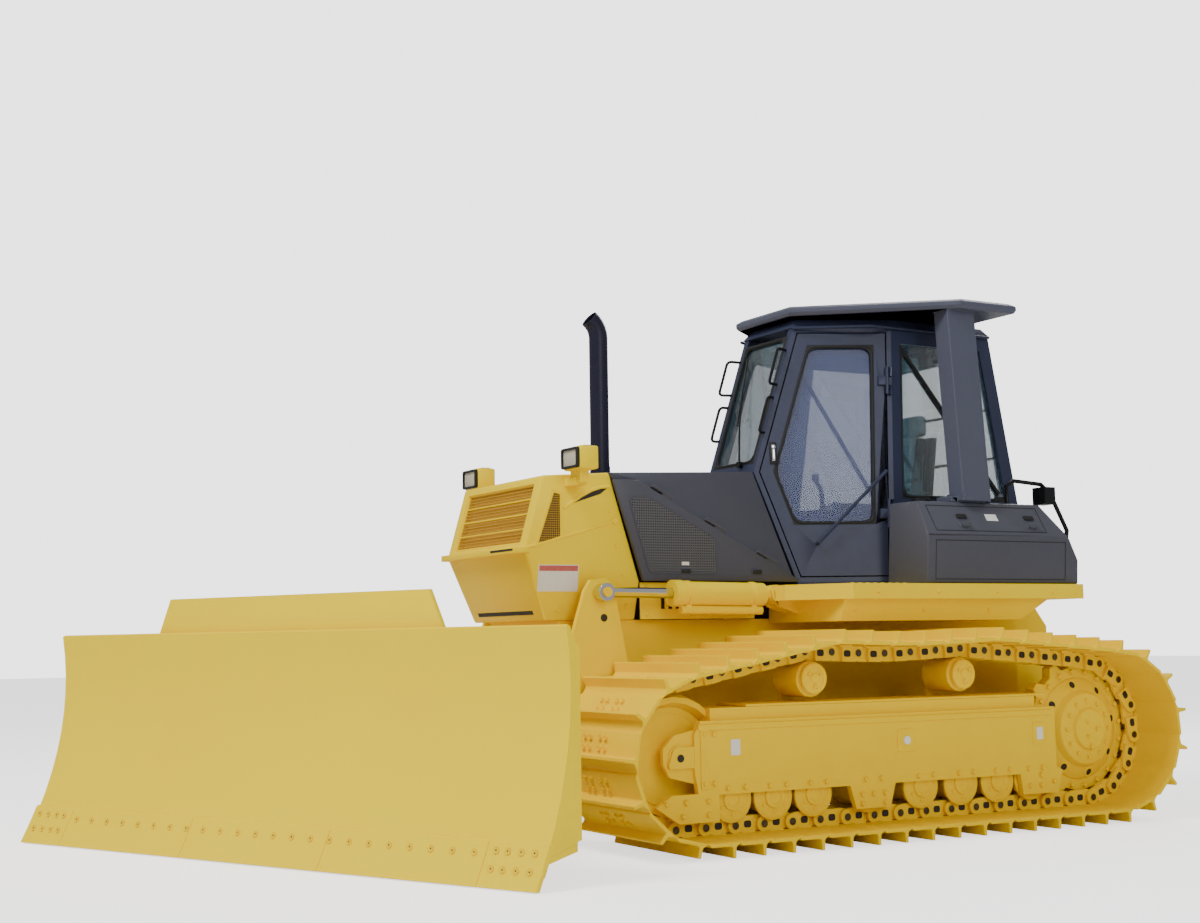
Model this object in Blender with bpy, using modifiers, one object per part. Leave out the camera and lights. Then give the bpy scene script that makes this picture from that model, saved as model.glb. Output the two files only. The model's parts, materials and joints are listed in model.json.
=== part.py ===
"""A crawler bulldozer with a hexagonal cab, an angling blade and wide track shoes.

Metres, +Z up, the machine heads along -Y and its left side is +X. Every shape is laid
out in the machine's own coordinates (x = 0 on its centre line, y = 0 half way along the
tracks, z = 0 on the ground). The empty "machine" then moves it all, so that the world's
origin lies at the bottom centre of the whole box.
"""

from math import acos, asin, atan2, cos, hypot, pi, radians, sin, sqrt

import bmesh
import bpy
from mathutils import Matrix, Vector

# ---------------------------------------------------------------- driving sizes

GAP = 0.0003                    # between pieces that touch
RUN = 0.008                     # round a piece that moves

# Tracks
TRACK_CENTRE_X = 1.07           # half the track gauge
SHOE_WIDTH = 0.86
SHOE_PITCH = 0.19
PIN_Z = 0.122                   # pin line over the ground
IDLER_Y = -1.50
IDLER_PIN_R = 0.38
SPROCKET_Y = 1.47
SPROCKET_PIN_R = 0.42
SHOE_IN = 0.042                 # pin line to the shoe's inner face
SHOE_OUT = 0.062                # pin line to the shoe's outer face
GROUSER_W = 0.022
RAIL_OUT = 0.050                # pin line to the link's outer edge
RAIL_IN = 0.050                 # pin line to the rail that the rollers run on
RAIL_W = 0.045
RAIL_X = 0.080                  # track centre to the middle of one rail
CARRIER_Y = (-0.61, 0.47)
CARRIER_PIN_Z = 1.05
CARRIER_R = 0.10
TOP_SAG = 0.022

# Track frame
ROLLER_Y = (-1.16, -0.89, -0.62, -0.24, 0.14, 0.44, 0.72, 0.98)
ROLLER_R = 0.095
FRAME_HALF_W = 0.145
FRAME_Z = (0.385, 0.755)
FRAME_Y = (-1.30, 1.02)
SIDE_PLATE_Z = (0.300, 0.690)
SIDE_PLATE_T = 0.030

# Hull
HULL_HALF_W = 0.44
HULL_BELLY_Z = 0.39
HULL_Y = (-1.80, 1.62)
REAR_CASE_Y = 1.93
REAR_CASE_Z = (0.50, 1.33)
DRAWBAR_L = 0.17

# Hood and nose
HOOD_HALF_W = 0.52
HOOD_SKIN = 0.025
NOSE_TOP = (-1.93, 2.05)        # y, z of the grille's top edge
NOSE_LIP = (-2.05, 1.63)        # y, z of the grille's bottom edge
NOSE_FOOT = (-1.90, 1.24)       # y, z of the lower box's front bottom
NOSE_FOOT_HALF_W = 0.46
NOSE_REAR_Y = (-1.31, -1.50)    # where the side covers begin, at their foot and at their top
HOOD_TOP_Z = (2.08, 2.15)       # front, rear
COVER_Z = 1.46                  # foot of the engine side covers
CREASE_FRONT = (-1.33, 2.05)    # y, z: the covers' top edge slopes from here
CREASE_REAR = (-0.20, 1.47)     # y, z: to here, at the cab door
COVER_T = 0.030

# Cab
CAB_Z = (1.46, 2.15, 3.08)      # floor, windshield foot, roof
CAB_FRONT = ((0.45, -0.148), (0.26, -0.320), (0.27, 0.000))
CAB_DOOR_REAR = ((0.71, 0.400), (0.54, 0.570))
CAB_REAR = ((0.67, 1.560), (0.53, 1.390))
CAB_WALL = 0.050
CAB_ROOF_T = 0.060
GLASS_T = 0.006
DOOR_EDGE = 0.030               # cab wall left round the door
DOOR_FRAME = 0.085              # door left round its window
DOOR_T = 0.040
HINGE_OUT = 0.022               # hinge line over the door's outer face
HINGE_R = 0.011
HINGE_HALF_L = 0.030
HINGE_V = (0.42, 1.28)          # height of the door's hinges up the door
CREASE_PARTS = (0.18, 0.50, 0.82)
CREASE_HALF = 0.030             # share of the edge that half a knuckle takes
CREASE_OFF = 0.016

# Roll-over frame
ROPS_Z = (3.150, 3.215)
ROPS_FRONT = (0.30, -0.05)
ROPS_CORNER = (0.97, 0.78)
ROPS_REAR_Y = 1.24
POST_FOOT = (1.000, 0.770, 1.935)
POST_HEAD = (0.830, 0.840)
POST_SIZE = (0.13, 0.22)

# Decks and side boxes
DECK_Z = (1.34, 1.43)
DECK_X = (HULL_HALF_W + GAP, 1.17)
DECK_Y = (-0.505, 1.51)
DECK_FLARE_Y = -0.28
DECK_LIP_REAR = 1.30
UNDER_Z = 1.215
UNDER_Y = (-0.36, 1.08)
BOX_X = (0.76, 1.15)
BOX_Y = (0.30, 1.51)
BOX_SHOULDER_Z = 1.72
BOX_TOP_Z = 1.93
BOX_SLOPE = 0.13

# C-frame, lift
LIFT_AXIS = (-0.05, 0.60)       # y, z
ARM_X = (0.475, 0.575)
ARM_Z = (0.50, 0.66)
ARM_FRONT_Y = -2.16
LEVER_X = (0.578, 0.612)
LIFT_EYE = (-1.62, 1.392)       # y, z
LIFT_FOOT = (-0.47, 1.378)      # y, z
LIFT_X = 0.655
LIFT_BARREL_R = 0.068
LIFT_ROD_R = 0.030
LIFT_BARREL_L = 0.71
LIFT_ROD_L = 0.83

# Blade
BLADE_PIVOT_Y = -2.98
BLADE_PIVOT_Z = 0.52
BLADE_ANGLE = radians(24.0)
BLADE_WIDTH = 3.86
BLADE_HEIGHT = 1.19
BLADE_REACH = 0.600             # pivot to the cutting edge
BLADE_TOP_REACH = 0.360         # pivot to the top edge
BLADE_HOLLOW = 0.115            # depth of the moldboard's curve
BLADE_T = 0.030
BLADE_FLOOR = 0.004             # cutting edge over the ground
BLADE_BACK = 0.250              # pivot to the back of the ribs
RIB_X = (0.85, 1.35, 1.90)
EDGE_H = 0.21
EDGE_T = 0.022
GUARD_HALF_W = (1.12, 1.00)
GUARD_H = 0.20

# Blade carrier and its cylinders
BEAM_HALF_W = 0.66
BEAM_Y = (-0.205, -0.105)       # behind the blade, from the pivot
BEAM_Z = (0.44, 0.71)
SOCKET_R = 0.092
SWING_PIN_R = 0.050
ANGLE_LUG = (0.45, 0.00)        # x and y from the pivot
ANGLE_FOOT = (0.60, -2.10)
ANGLE_Z = 0.765
ANGLE_BARREL_R = 0.050
ANGLE_ROD_R = 0.024
ANGLE_BARREL_L = 0.600
ANGLE_ROD_L = 0.610
TILT_Z = 0.94
TILT_Y = -0.085                  # behind the blade, from the pivot
TILT_FOOT_X = -0.42
TILT_EYE_X = 0.40
TILT_BARREL_R = 0.048
TILT_ROD_R = 0.024
TILT_BARREL_L = 0.56
TILT_ROD_L = 0.60
EYE_WIDTH = 0.070
PIN_R = 0.022

# Exhaust and lamps
STACK_X = 0.20
STACK_Y = -1.38
STACK_R = 0.056
STACK_TOP_Z = 3.02
LAMP_X = 0.66
LAMP_Y = (-1.82, -1.70)
LAMP_Z = (2.07, 2.20)
LAMP_W = 0.20

# ---------------------------------------------------------------- worked-out sizes

HULL_Z = (HULL_BELLY_Z, NOSE_FOOT[1] - GAP)
IDLER_Z = PIN_Z + IDLER_PIN_R
SPROCKET_Z = PIN_Z + SPROCKET_PIN_R
ROLLER_Z = PIN_Z + RAIL_IN + ROLLER_R + GAP
CHORD = cos(asin(SHOE_PITCH / 2 / IDLER_PIN_R))
TRACK_OUTER_X = TRACK_CENTRE_X + SHOE_WIDTH / 2

YELLOW = (0.80, 0.52, 0.02)
GREY = (0.10, 0.11, 0.14)
NAVY = (0.05, 0.06, 0.09)
BLACK = (0.02, 0.02, 0.02)
STEEL = (0.55, 0.55, 0.55)
GLASS = (0.25, 0.40, 0.50)

COLLECTION = "bulldozer"


# ---------------------------------------------------------------- scene and materials

def clear_scene():
    for obj in list(bpy.data.objects):
        bpy.data.objects.remove(obj, do_unlink=True)
    for name in (COLLECTION, "cutters"):
        collection = bpy.data.collections.new(name)
        bpy.context.scene.collection.children.link(collection)


def material(name, colour, rough=0.45, metal=0.0):
    found = bpy.data.materials.get(name)
    if found:
        return found
    made = bpy.data.materials.new(name)
    made.use_nodes = True
    made.diffuse_color = (*colour, 1)
    shader = made.node_tree.nodes["Principled BSDF"]
    shader.inputs["Base Color"].default_value = (*colour, 1)
    shader.inputs["Roughness"].default_value = rough
    shader.inputs["Metallic"].default_value = metal
    return made


def paint(obj, colour, rough=0.45, metal=0.0):
    obj.data.materials.clear()
    obj.data.materials.append(material(obj.name + "_paint", colour, rough, metal))
    return obj


def add(name, data):
    obj = bpy.data.objects.new(name, data)
    bpy.data.collections[COLLECTION].objects.link(obj)
    return obj


def empty(name, place, parent=None):
    obj = add(name, None)
    obj.empty_display_size = 0.1
    obj.location = place
    if parent:
        ride(obj, parent)
    return obj


def world(obj):
    """The object's place, worked out through its parents without a scene update."""
    here = obj.matrix_parent_inverse @ obj.matrix_basis
    return world(obj.parent) @ here if obj.parent else obj.matrix_basis.copy()


def ride(obj, parent):
    """Parents the object and keeps it where it is."""
    here = world(obj)
    obj.parent = parent
    obj.matrix_parent_inverse = world(parent).inverted()
    obj.matrix_basis = here
    return obj


# ---------------------------------------------------------------- shapes

def from_bmesh(name, work):
    mesh = bpy.data.meshes.new(name)
    bmesh.ops.recalc_face_normals(work, faces=work.faces)
    work.to_mesh(mesh)
    work.free()
    return add(name, mesh)


def box(name, low, high, round_by=0.0):
    low = Vector(low)
    high = Vector(high)
    work = bmesh.new()
    bmesh.ops.create_cube(work, size=1.0)
    bmesh.ops.scale(work, vec=high - low, verts=work.verts)
    obj = from_bmesh(name, work)
    obj.location = (low + high) / 2
    return soften(obj, round_by)


def hull(name, points, round_by=0.0):
    """The convex solid round these corners."""
    work = bmesh.new()
    for point in points:
        work.verts.new(point)
    bmesh.ops.convex_hull(work, input=work.verts)
    loose = [vert for vert in work.verts if not vert.link_faces]
    bmesh.ops.delete(work, geom=loose, context="VERTS")
    bmesh.ops.dissolve_limit(work, angle_limit=radians(0.5), verts=work.verts, edges=work.edges)
    return soften(from_bmesh(name, work), round_by)


def both(points):
    """The corners and their mirror images over x = 0."""
    return [*points, *((-x, y, z) for x, y, z in points)]


def on_side(side, points):
    return [(side * x, y, z) for x, y, z in points]


def soften(obj, width, segments=2):
    if width:
        bevel = obj.modifiers.new("Bevel", "BEVEL")
        bevel.width = width
        bevel.segments = segments
        bevel.limit_method = "ANGLE"
        bevel.angle_limit = radians(25)
    return obj


def rod(name, start, end, radius, sides=20):
    """A round bar from one point to the other."""
    start = Vector(start)
    along = Vector(end) - start
    work = bmesh.new()
    bmesh.ops.create_cone(
        work, cap_ends=True, segments=sides, radius1=radius, radius2=radius, depth=along.length
    )
    obj = from_bmesh(name, work)
    obj.location = start + along / 2
    obj.rotation_mode = "QUATERNION"
    obj.rotation_quaternion = along.to_track_quat("Z", "Y")
    return obj


def to_mesh(curve_object):
    """The curve as a mesh object with welded caps."""
    bpy.context.view_layer.update()
    graph = bpy.context.evaluated_depsgraph_get()
    mesh = bpy.data.meshes.new_from_object(curve_object.evaluated_get(graph))
    work = bmesh.new()
    work.from_mesh(mesh)
    bmesh.ops.remove_doubles(work, verts=work.verts, dist=0.00005)
    work.to_mesh(mesh)
    work.free()
    name = curve_object.name
    placed = curve_object.matrix_basis.copy()
    bpy.data.objects.remove(curve_object)
    obj = add(name, mesh)
    obj.matrix_basis = placed
    return obj


def sheet_in(name, outlines, thickness, placed, round_by=0.0):
    """Flat outlines, filled and extruded, laid in the plane that the matrix gives."""
    curve = bpy.data.curves.new(name, "CURVE")
    curve.dimensions = "2D"
    curve.fill_mode = "BOTH"
    curve.extrude = thickness / 2
    for outline in outlines:
        spline = curve.splines.new("POLY")
        spline.points.add(len(outline) - 1)
        for point, (u, v) in zip(spline.points, outline):
            point.co = (u, v, 0, 1)
        spline.use_cyclic_u = True
    obj = add(name, curve)
    obj.matrix_basis = placed
    return soften(to_mesh(obj), round_by)


def side_plate(name, outlines, x_low, x_high, round_by=0.0):
    """Outlines of (y, z), solid from one x to the other."""
    if not isinstance(outlines[0][0], tuple):
        outlines = [outlines]
    axes = Matrix(((0, 0, 1, (x_low + x_high) / 2), (1, 0, 0, 0), (0, 1, 0, 0), (0, 0, 0, 1)))
    return sheet_in(name, outlines, abs(x_high - x_low), axes, round_by)


def cross_plate(name, outline, y_low, y_high, round_by=0.0):
    """An outline of (x, z), solid from one y to the other."""
    axes = Matrix(((1, 0, 0, 0), (0, 0, -1, (y_low + y_high) / 2), (0, 1, 0, 0), (0, 0, 0, 1)))
    return sheet_in(name, [outline], y_high - y_low, axes, round_by)


def level_plate(name, outline, z_low, z_high, round_by=0.0):
    """An outline of (x, y), solid from one height to the other."""
    axes = Matrix.Translation((0, 0, (z_low + z_high) / 2))
    return sheet_in(name, [outline], z_high - z_low, axes, round_by)


def pipe(name, points, radius, sides=2):
    curve = bpy.data.curves.new(name, "CURVE")
    curve.dimensions = "3D"
    curve.bevel_depth = radius
    curve.bevel_resolution = sides
    curve.use_fill_caps = True
    spline = curve.splines.new("POLY")
    spline.points.add(len(points) - 1)
    for point, place in zip(spline.points, points):
        point.co = (*place, 1)
    return to_mesh(add(name, curve))


def turned(name, profile, centre, axis="X", steps=32):
    """A profile of (radius, along) turned about an axis through the centre. It runs from -along to +along."""
    mesh = bpy.data.meshes.new(name)
    points = [(r, 0, -a) for r, a in profile]
    mesh.from_pydata(points, [(i, i + 1) for i in range(len(points) - 1)], [])
    obj = add(name, mesh)
    screw = obj.modifiers.new("Screw", "SCREW")
    screw.axis = "Z"
    screw.angle = 2 * pi
    screw.steps = steps
    screw.render_steps = steps
    screw.use_merge_vertices = True
    screw.merge_threshold = 0.0001
    screw.use_normal_calculate = True
    obj.location = centre
    if axis == "X":
        obj.rotation_euler = (0, -pi / 2, 0)
    elif axis == "Y":
        obj.rotation_euler = (pi / 2, 0, 0)
    return obj


def use_tool(obj, tool, operation, solver="EXACT"):
    for old in list(tool.users_collection):
        old.objects.unlink(tool)
    bpy.data.collections["cutters"].objects.link(tool)
    tool.hide_render = True
    tool.display_type = "WIRE"
    ride(tool, obj)
    change = obj.modifiers.new(operation.title(), "BOOLEAN")
    change.operation = operation
    change.solver = solver
    change.object = tool
    return obj


def cut(obj, tool, solver="EXACT"):
    return use_tool(obj, tool, "DIFFERENCE", solver)


def fuse(obj, tool, solver="EXACT"):
    return use_tool(obj, tool, "UNION", solver)


# ---------------------------------------------------------------- tracks

def tangent(centre, radius, point, turn):
    """Angle on the circle where a line from the point touches it."""
    dy = point[0] - centre[0]
    dz = point[1] - centre[1]
    return atan2(dz, dy) + turn * acos(radius / hypot(dy, dz))


def arc(centre, radius, start, end, steps):
    angles = [start + (end - start) * i / steps for i in range(steps + 1)]
    return [(centre[0] + radius * cos(a), centre[1] + radius * sin(a)) for a in angles]


def pin_path():
    """Closed line of the track pins, from under the idler round the front and back."""
    idler = (IDLER_Y, IDLER_Z)
    sprocket = (SPROCKET_Y, SPROCKET_Z)
    front = (CARRIER_Y[0], CARRIER_PIN_Z)
    rear = (CARRIER_Y[1], CARRIER_PIN_Z)
    up = tangent(idler, IDLER_PIN_R, front, 1)
    down = tangent(sprocket, SPROCKET_PIN_R, rear, -1)
    path = arc(idler, IDLER_PIN_R, -pi / 2, up - 2 * pi, 24)
    sags = [0.25, 0.5, 0.75]
    path.append(front)
    for part in sags:
        y = front[0] + (rear[0] - front[0]) * part
        path.append((y, CARRIER_PIN_Z - TOP_SAG * 4 * part * (1 - part)))
    path.append(rear)
    path += arc(sprocket, SPROCKET_PIN_R, down, -pi / 2, 24)
    return path


def walk(path, count):
    """Points at equal steps round the closed path."""
    ring = [Vector(p) for p in path]
    ring.append(ring[0])
    lengths = [(b - a).length for a, b in zip(ring, ring[1:])]
    step = sum(lengths) / count
    points = []
    for i in range(count):
        left = i * step
        for start, end, length in zip(ring, ring[1:], lengths):
            if left <= length:
                points.append(start + (end - start) * (left / length))
                break
            left -= length
    return points


def loop_length():
    ring = [Vector(p) for p in pin_path()]
    return sum((b - a).length for a, b in zip(ring, ring[1:] + ring[:1]))


def offset_loop(points, distance):
    """The closed line moved outward. The points run clockwise seen from +X."""
    moved = []
    for i, here in enumerate(points):
        along = (points[(i + 1) % len(points)] - points[i - 1]).normalized()
        moved.append(tuple(here + Vector((-along.y, along.x)) * distance))
    return moved


def carrier_z(y):
    """Height of a carrier roller that just reaches the rails above it."""
    rails = offset_loop(walk(pin_path(), round(loop_length() / SHOE_PITCH)), -RAIL_IN)
    top = [(a, b) for a, b in zip(rails, rails[1:]) if min(a[1], b[1]) > IDLER_Z]
    best = CARRIER_PIN_Z
    for i in range(-8, 9):
        across = CARRIER_R * 0.9 * i / 8
        at = y + across
        for start, end in top:
            if start[0] <= at <= end[0]:
                rail = start[1] + (end[1] - start[1]) * (at - start[0]) / (end[0] - start[0])
                best = min(best, rail - sqrt(CARRIER_R ** 2 - across ** 2))
    return best - GAP * 4


def shoe_outline(points):
    """Outer outline: one flat shoe a link, each with a grouser bar near its front edge."""
    outline = []
    for i, start in enumerate(points):
        end = points[(i + 1) % len(points)]
        along = (end - start).normalized()
        out = Vector((-along.y, along.x))
        pitch = (end - start).length
        for part, height in (
            (0.10, SHOE_OUT),
            (0.13, PIN_Z),
            (0.13 + GROUSER_W / pitch, PIN_Z),
            (0.16 + GROUSER_W / pitch, SHOE_OUT),
            (0.92, SHOE_OUT),
        ):
            outline.append(tuple(start + along * (pitch * part) + out * height))
    return outline


def track(side):
    name = side_name("track", side)
    points = walk(pin_path(), round(loop_length() / SHOE_PITCH))
    centre = side * TRACK_CENTRE_X
    half = SHOE_WIDTH / 2
    shoes = [shoe_outline(points), offset_loop(points, SHOE_IN)]
    obj = side_plate(name, shoes, centre - half, centre + half)
    links = [offset_loop(points, RAIL_OUT), offset_loop(points, -RAIL_IN)]
    for hand in (-1, 1):
        middle = centre + hand * RAIL_X
        rail = side_plate(name + "_link", links, middle - RAIL_W / 2, middle + RAIL_W / 2)
        use_tool(obj, rail, "UNION", "MANIFOLD")
    return paint(obj, YELLOW, 0.5)


def side_name(name, side):
    return name + ("_left" if side > 0 else "_right")


def track_frame(side):
    """Box beam with the track rollers, the carrier rollers, the idler and its yoke."""
    name = side_name("track_frame", side)
    centre = side * TRACK_CENTRE_X
    low = centre - FRAME_HALF_W
    high = centre + FRAME_HALF_W
    obj = box(name, (low, FRAME_Y[0], FRAME_Z[0]), (high, FRAME_Y[1], FRAME_Z[1]))
    front = FRAME_Y[0] - 0.12
    rear = FRAME_Y[1] + 0.13
    foot, head = SIDE_PLATE_Z
    front_guard = [(-1.56, 0.31), (-1.66, 0.25), (-1.52, 0.16), (-1.27, 0.16), (-1.27, foot)]
    centre_guard = [(-0.40, foot), (-0.36, 0.17), (-0.12, 0.17), (-0.08, foot)]
    rear_guard = [(0.86, foot), (0.88, 0.18), (1.16, 0.18), (1.20, 0.31), (rear, 0.33)]
    plate = [(front, 0.42), (front + 0.02, 0.31)]
    plate += front_guard + centre_guard + rear_guard
    plate += [(rear, head), (front + 0.04, head), (front, 0.62)]
    yoke = [
        (FRAME_Y[0] - 0.02, 0.34), (IDLER_Y - 0.06, 0.40), (IDLER_Y - 0.10, 0.47),
        (IDLER_Y - 0.10, 0.55), (IDLER_Y - 0.03, 0.62), (FRAME_Y[0] - 0.02, 0.66),
    ]
    for hand in (-1, 1):
        inner = centre + hand * (FRAME_HALF_W - 0.005)
        outer = centre + hand * (FRAME_HALF_W + SIDE_PLATE_T)
        fuse(obj, side_plate(name + "_plate", plate, *sorted((inner, outer))))
        inside = centre + hand * (FRAME_HALF_W - 0.022)
        yoke_out = centre + hand * (FRAME_HALF_W + 0.004)
        fuse(obj, side_plate(name + "_yoke", yoke, *sorted((inside, yoke_out))))
    wide = FRAME_HALF_W + 0.002
    for y in ROLLER_Y:
        profile = roller_profile(ROLLER_R, FRAME_Z[0] - ROLLER_Z + 0.008, wide)
        fuse(obj, turned(name + "_roller", profile, (centre, y, ROLLER_Z), steps=12))
    for y in CARRIER_Y:
        axle = carrier_z(y)
        stand = [(y - 0.06, 0.74), (y + 0.06, 0.74), (y + 0.035, axle), (y - 0.035, axle)]
        foot = centre - side * 0.130
        fuse(obj, side_plate(name + "_stand", stand, foot - 0.015, foot + 0.015))
        fuse(obj, turned(name + "_carrier", carrier_profile(side), (centre, y, axle), steps=16))
    idler = turned(name + "_idler", idler_profile(wide), (centre, IDLER_Y, IDLER_Z), steps=24)
    fuse(obj, idler)
    return paint(obj, YELLOW, 0.5)


def roller_profile(tread, flange, half):
    edge = RAIL_X + RAIL_W / 2 + 0.004
    return [
        (0, -half), (flange, -half + 0.02), (flange, -edge), (tread, -edge),
        (tread, edge), (flange, edge), (flange, half - 0.02), (0, half),
    ]


def carrier_profile(side):
    """The carrier roller is held at its inner end only."""
    out = 0.150
    inner = -0.118
    points = [
        (0, inner - 0.02), (0.032, inner - 0.02), (0.032, inner + 0.005), (CARRIER_R, inner + 0.010),
        (CARRIER_R, out - 0.035), (0.078, out - 0.028), (0.078, out), (0, out),
    ]
    if side > 0:
        return points
    return [(r, -a) for r, a in reversed(points)]


def idler_profile(half):
    tread = (IDLER_PIN_R - RAIL_IN) * CHORD - GAP * 4
    rim = 0.105
    return [
        (0, -half), (0.055, -half), (0.055, -0.050), (tread - 0.05, -0.040),
        (tread - 0.03, -rim), (tread, -rim), (tread, -0.054), (tread + 0.018, -0.042),
        (tread + 0.018, 0.042), (tread, 0.054), (tread, rim), (tread - 0.03, rim),
        (tread - 0.05, 0.040), (0.055, 0.050), (0.055, half), (0, half),
    ]


def sprocket(side):
    """Toothed ring on the final drive, which is bolted to the hull's side."""
    name = side_name("final_drive", side)
    centre = side * TRACK_CENTRE_X
    teeth = round(2 * pi * SPROCKET_PIN_R / SHOE_PITCH * 2 / 2)
    ring = []
    for i in range(teeth):
        base = 2 * pi * i / teeth
        for part, radius in ((0.18, 0.0), (0.38, 0.052), (0.62, 0.052), (0.82, 0.0)):
            angle = base + 2 * pi * part / teeth
            r = SPROCKET_PIN_R - 0.045 + radius
            ring.append((SPROCKET_Y + r * cos(angle), SPROCKET_Z + r * sin(angle)))
    obj = side_plate(name, ring, centre - 0.035, centre + 0.035)
    inner = HULL_HALF_W + GAP - TRACK_CENTRE_X
    hub = [
        (0, inner), (0.15, inner), (0.15, -0.46), (0.24, -0.30), (0.24, -0.10), (0.30, -0.10),
        (0.31, -0.02), (0.31, 0.045), (0.235, 0.075), (0.215, 0.115), (0.13, 0.125),
        (0.12, 0.150), (0, 0.150),
    ]
    points = hub if side > 0 else [(r, -a) for r, a in reversed(hub)]
    fuse(obj, turned(name + "_hub", points, (centre, SPROCKET_Y, SPROCKET_Z), steps=24))
    return paint(obj, YELLOW, 0.5)


# ---------------------------------------------------------------- hull

def main_frame():
    """Hull with its belly, rear case, pivot shaft and equalizer bar."""
    low, high = HULL_Z
    front, rear = HULL_Y
    side = [
        (front + 0.10, low + 0.12), (front + 0.35, low), (rear - 0.15, low), (rear, low + 0.12),
        (rear, high), (front, high), (front, low + 0.30),
    ]
    obj = side_plate("main_frame", side, -HULL_HALF_W, HULL_HALF_W)
    case = [
        (rear - 0.30, REAR_CASE_Z[0]), (REAR_CASE_Y - 0.06, REAR_CASE_Z[0]),
        (REAR_CASE_Y, REAR_CASE_Z[0] + 0.10), (REAR_CASE_Y, REAR_CASE_Z[1] - 0.15),
        (REAR_CASE_Y - 0.12, REAR_CASE_Z[1]), (rear - 0.95, REAR_CASE_Z[1]), (rear - 0.95, 1.0),
    ]
    fuse(obj, side_plate("rear_case", case, -0.40, 0.40))
    reach = TRACK_CENTRE_X - FRAME_HALF_W - SIDE_PLATE_T - GAP
    fuse(obj, rod("pivot_shaft", (-reach, 0.88, 0.52), (reach, 0.88, 0.52), 0.075))
    bar = [(-reach, 0.40), (reach, 0.40), (reach, 0.52), (0.30, 0.60), (-0.30, 0.60), (-reach, 0.52)]
    fuse(obj, cross_plate("equalizer_bar", bar, 0.12, 0.24))
    fuse(obj, box("drawbar_plate", (-0.30, REAR_CASE_Y - 0.01, 0.62), (0.30, REAR_CASE_Y + 0.03, 0.90)))
    hitch = REAR_CASE_Y + DRAWBAR_L
    tongue = [(-0.16, REAR_CASE_Y), (0.16, REAR_CASE_Y), (0.09, hitch), (-0.09, hitch)]
    fuse(obj, level_plate("drawbar", tongue, 0.68, 0.76))
    cut(obj, rod("tow_hole", (0, hitch - 0.06, 0.6), (0, hitch - 0.06, 0.8), 0.026, 20))
    return paint(obj, YELLOW, 0.5)


def engine():
    obj = box("engine_block", (-0.27, NOSE_REAR_Y[0] + 0.02, HULL_Z[1] + GAP), (0.27, -0.55, 1.86), 0.02)
    return paint(obj, STEEL, 0.6, 0.3)


# ---------------------------------------------------------------- hood

def nose_rear_y(z):
    """The sloping joint between the nose and the side covers."""
    foot, head = NOSE_REAR_Y
    return foot + (head - foot) * (z - COVER_Z) / (HOOD_TOP_Z[0] - COVER_Z)


def nose_corners(inset=0.0):
    top_y, top_z = NOSE_TOP
    lip_y, lip_z = NOSE_LIP
    foot_y, foot_z = NOSE_FOOT
    wide = HOOD_HALF_W - inset
    foot_wide = NOSE_FOOT_HALF_W - inset
    rear_foot, rear_top = NOSE_REAR_Y
    slope = HOOD_TOP_Z[0]
    return both([
        (wide, top_y + inset, top_z - inset), (wide, lip_y + inset, lip_z),
        (foot_wide, foot_y + inset, foot_z + inset), (foot_wide, rear_foot, foot_z + inset),
        (wide, rear_foot, COVER_Z), (wide, rear_top, slope - inset),
    ])


def nose():
    """Radiator guard: a yellow shell with the grille's opening in its front."""
    obj = hull("radiator_guard", nose_corners(), 0.012)
    skin = HOOD_SKIN
    inside = nose_corners(skin)
    room = hull("nose_room", inside)
    room.location.y += 0.03
    cut(obj, room)
    top_y, top_z = NOSE_TOP
    lip_y, lip_z = NOSE_LIP
    opening = []
    for y_shift in (-0.1, 0.2):
        for half, y, z in ((0.44, top_y, top_z - 0.045), (0.44, lip_y, lip_z + 0.035)):
            opening += [(half, y + y_shift, z), (-half, y + y_shift, z)]
    cut(obj, hull("grille_opening", opening))
    return paint(obj, YELLOW, 0.4)


def grille():
    top_y, top_z = NOSE_TOP
    lip_y, lip_z = NOSE_LIP
    depth = 0.022
    corners = []
    for shift in (0.006, 0.006 + depth):
        for y, z in ((top_y, top_z - 0.05), (lip_y, lip_z + 0.04)):
            corners += [(0.44 - GAP, y + shift + 0.01, z), (-0.44 + GAP, y + shift + 0.01, z)]
    obj = hull("grille", corners)
    return paint(obj, (0.40, 0.28, 0.08), 0.6)


def radiator():
    floor = NOSE_FOOT[1] + HOOD_SKIN + GAP
    obj = box("radiator", (-0.42, -1.78, floor), (0.42, -1.62, 1.96))
    return paint(obj, BLACK, 0.7)


def hood():
    """Dark hood top. It narrows and drops toward the cab on both sides."""
    crease_y, crease_z = CREASE_FRONT
    rear_y, rear_z = CREASE_REAR
    top_front, top_rear = HOOD_TOP_Z
    cab_x, cab_y = CAB_FRONT[1]

    def corners(inset):
        wide = HOOD_HALF_W - inset
        return both([
            (wide, nose_rear_y(top_front) + GAP * 2, top_front - inset), (cab_x, cab_y - 0.012, top_rear - inset),
            (wide, nose_rear_y(crease_z) + GAP * 2, crease_z), (wide, crease_y, crease_z),
            (CAB_FRONT[0][0] + 0.03 - inset, rear_y - 0.004, rear_z + 0.02),
        ])

    obj = hull("hood_top", corners(0.0))
    room = hull("hood_room", corners(HOOD_SKIN))
    room.location.z -= 0.02
    cut(obj, room)
    apart = 2 * CREASE_HALF + 0.0005
    for side in (-1, 1):
        for part in CREASE_PARTS:
            fuse(obj, crease_knuckle("hood_knuckle", side, part - apart, True))
    return paint(obj, GREY, 0.5)


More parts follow.
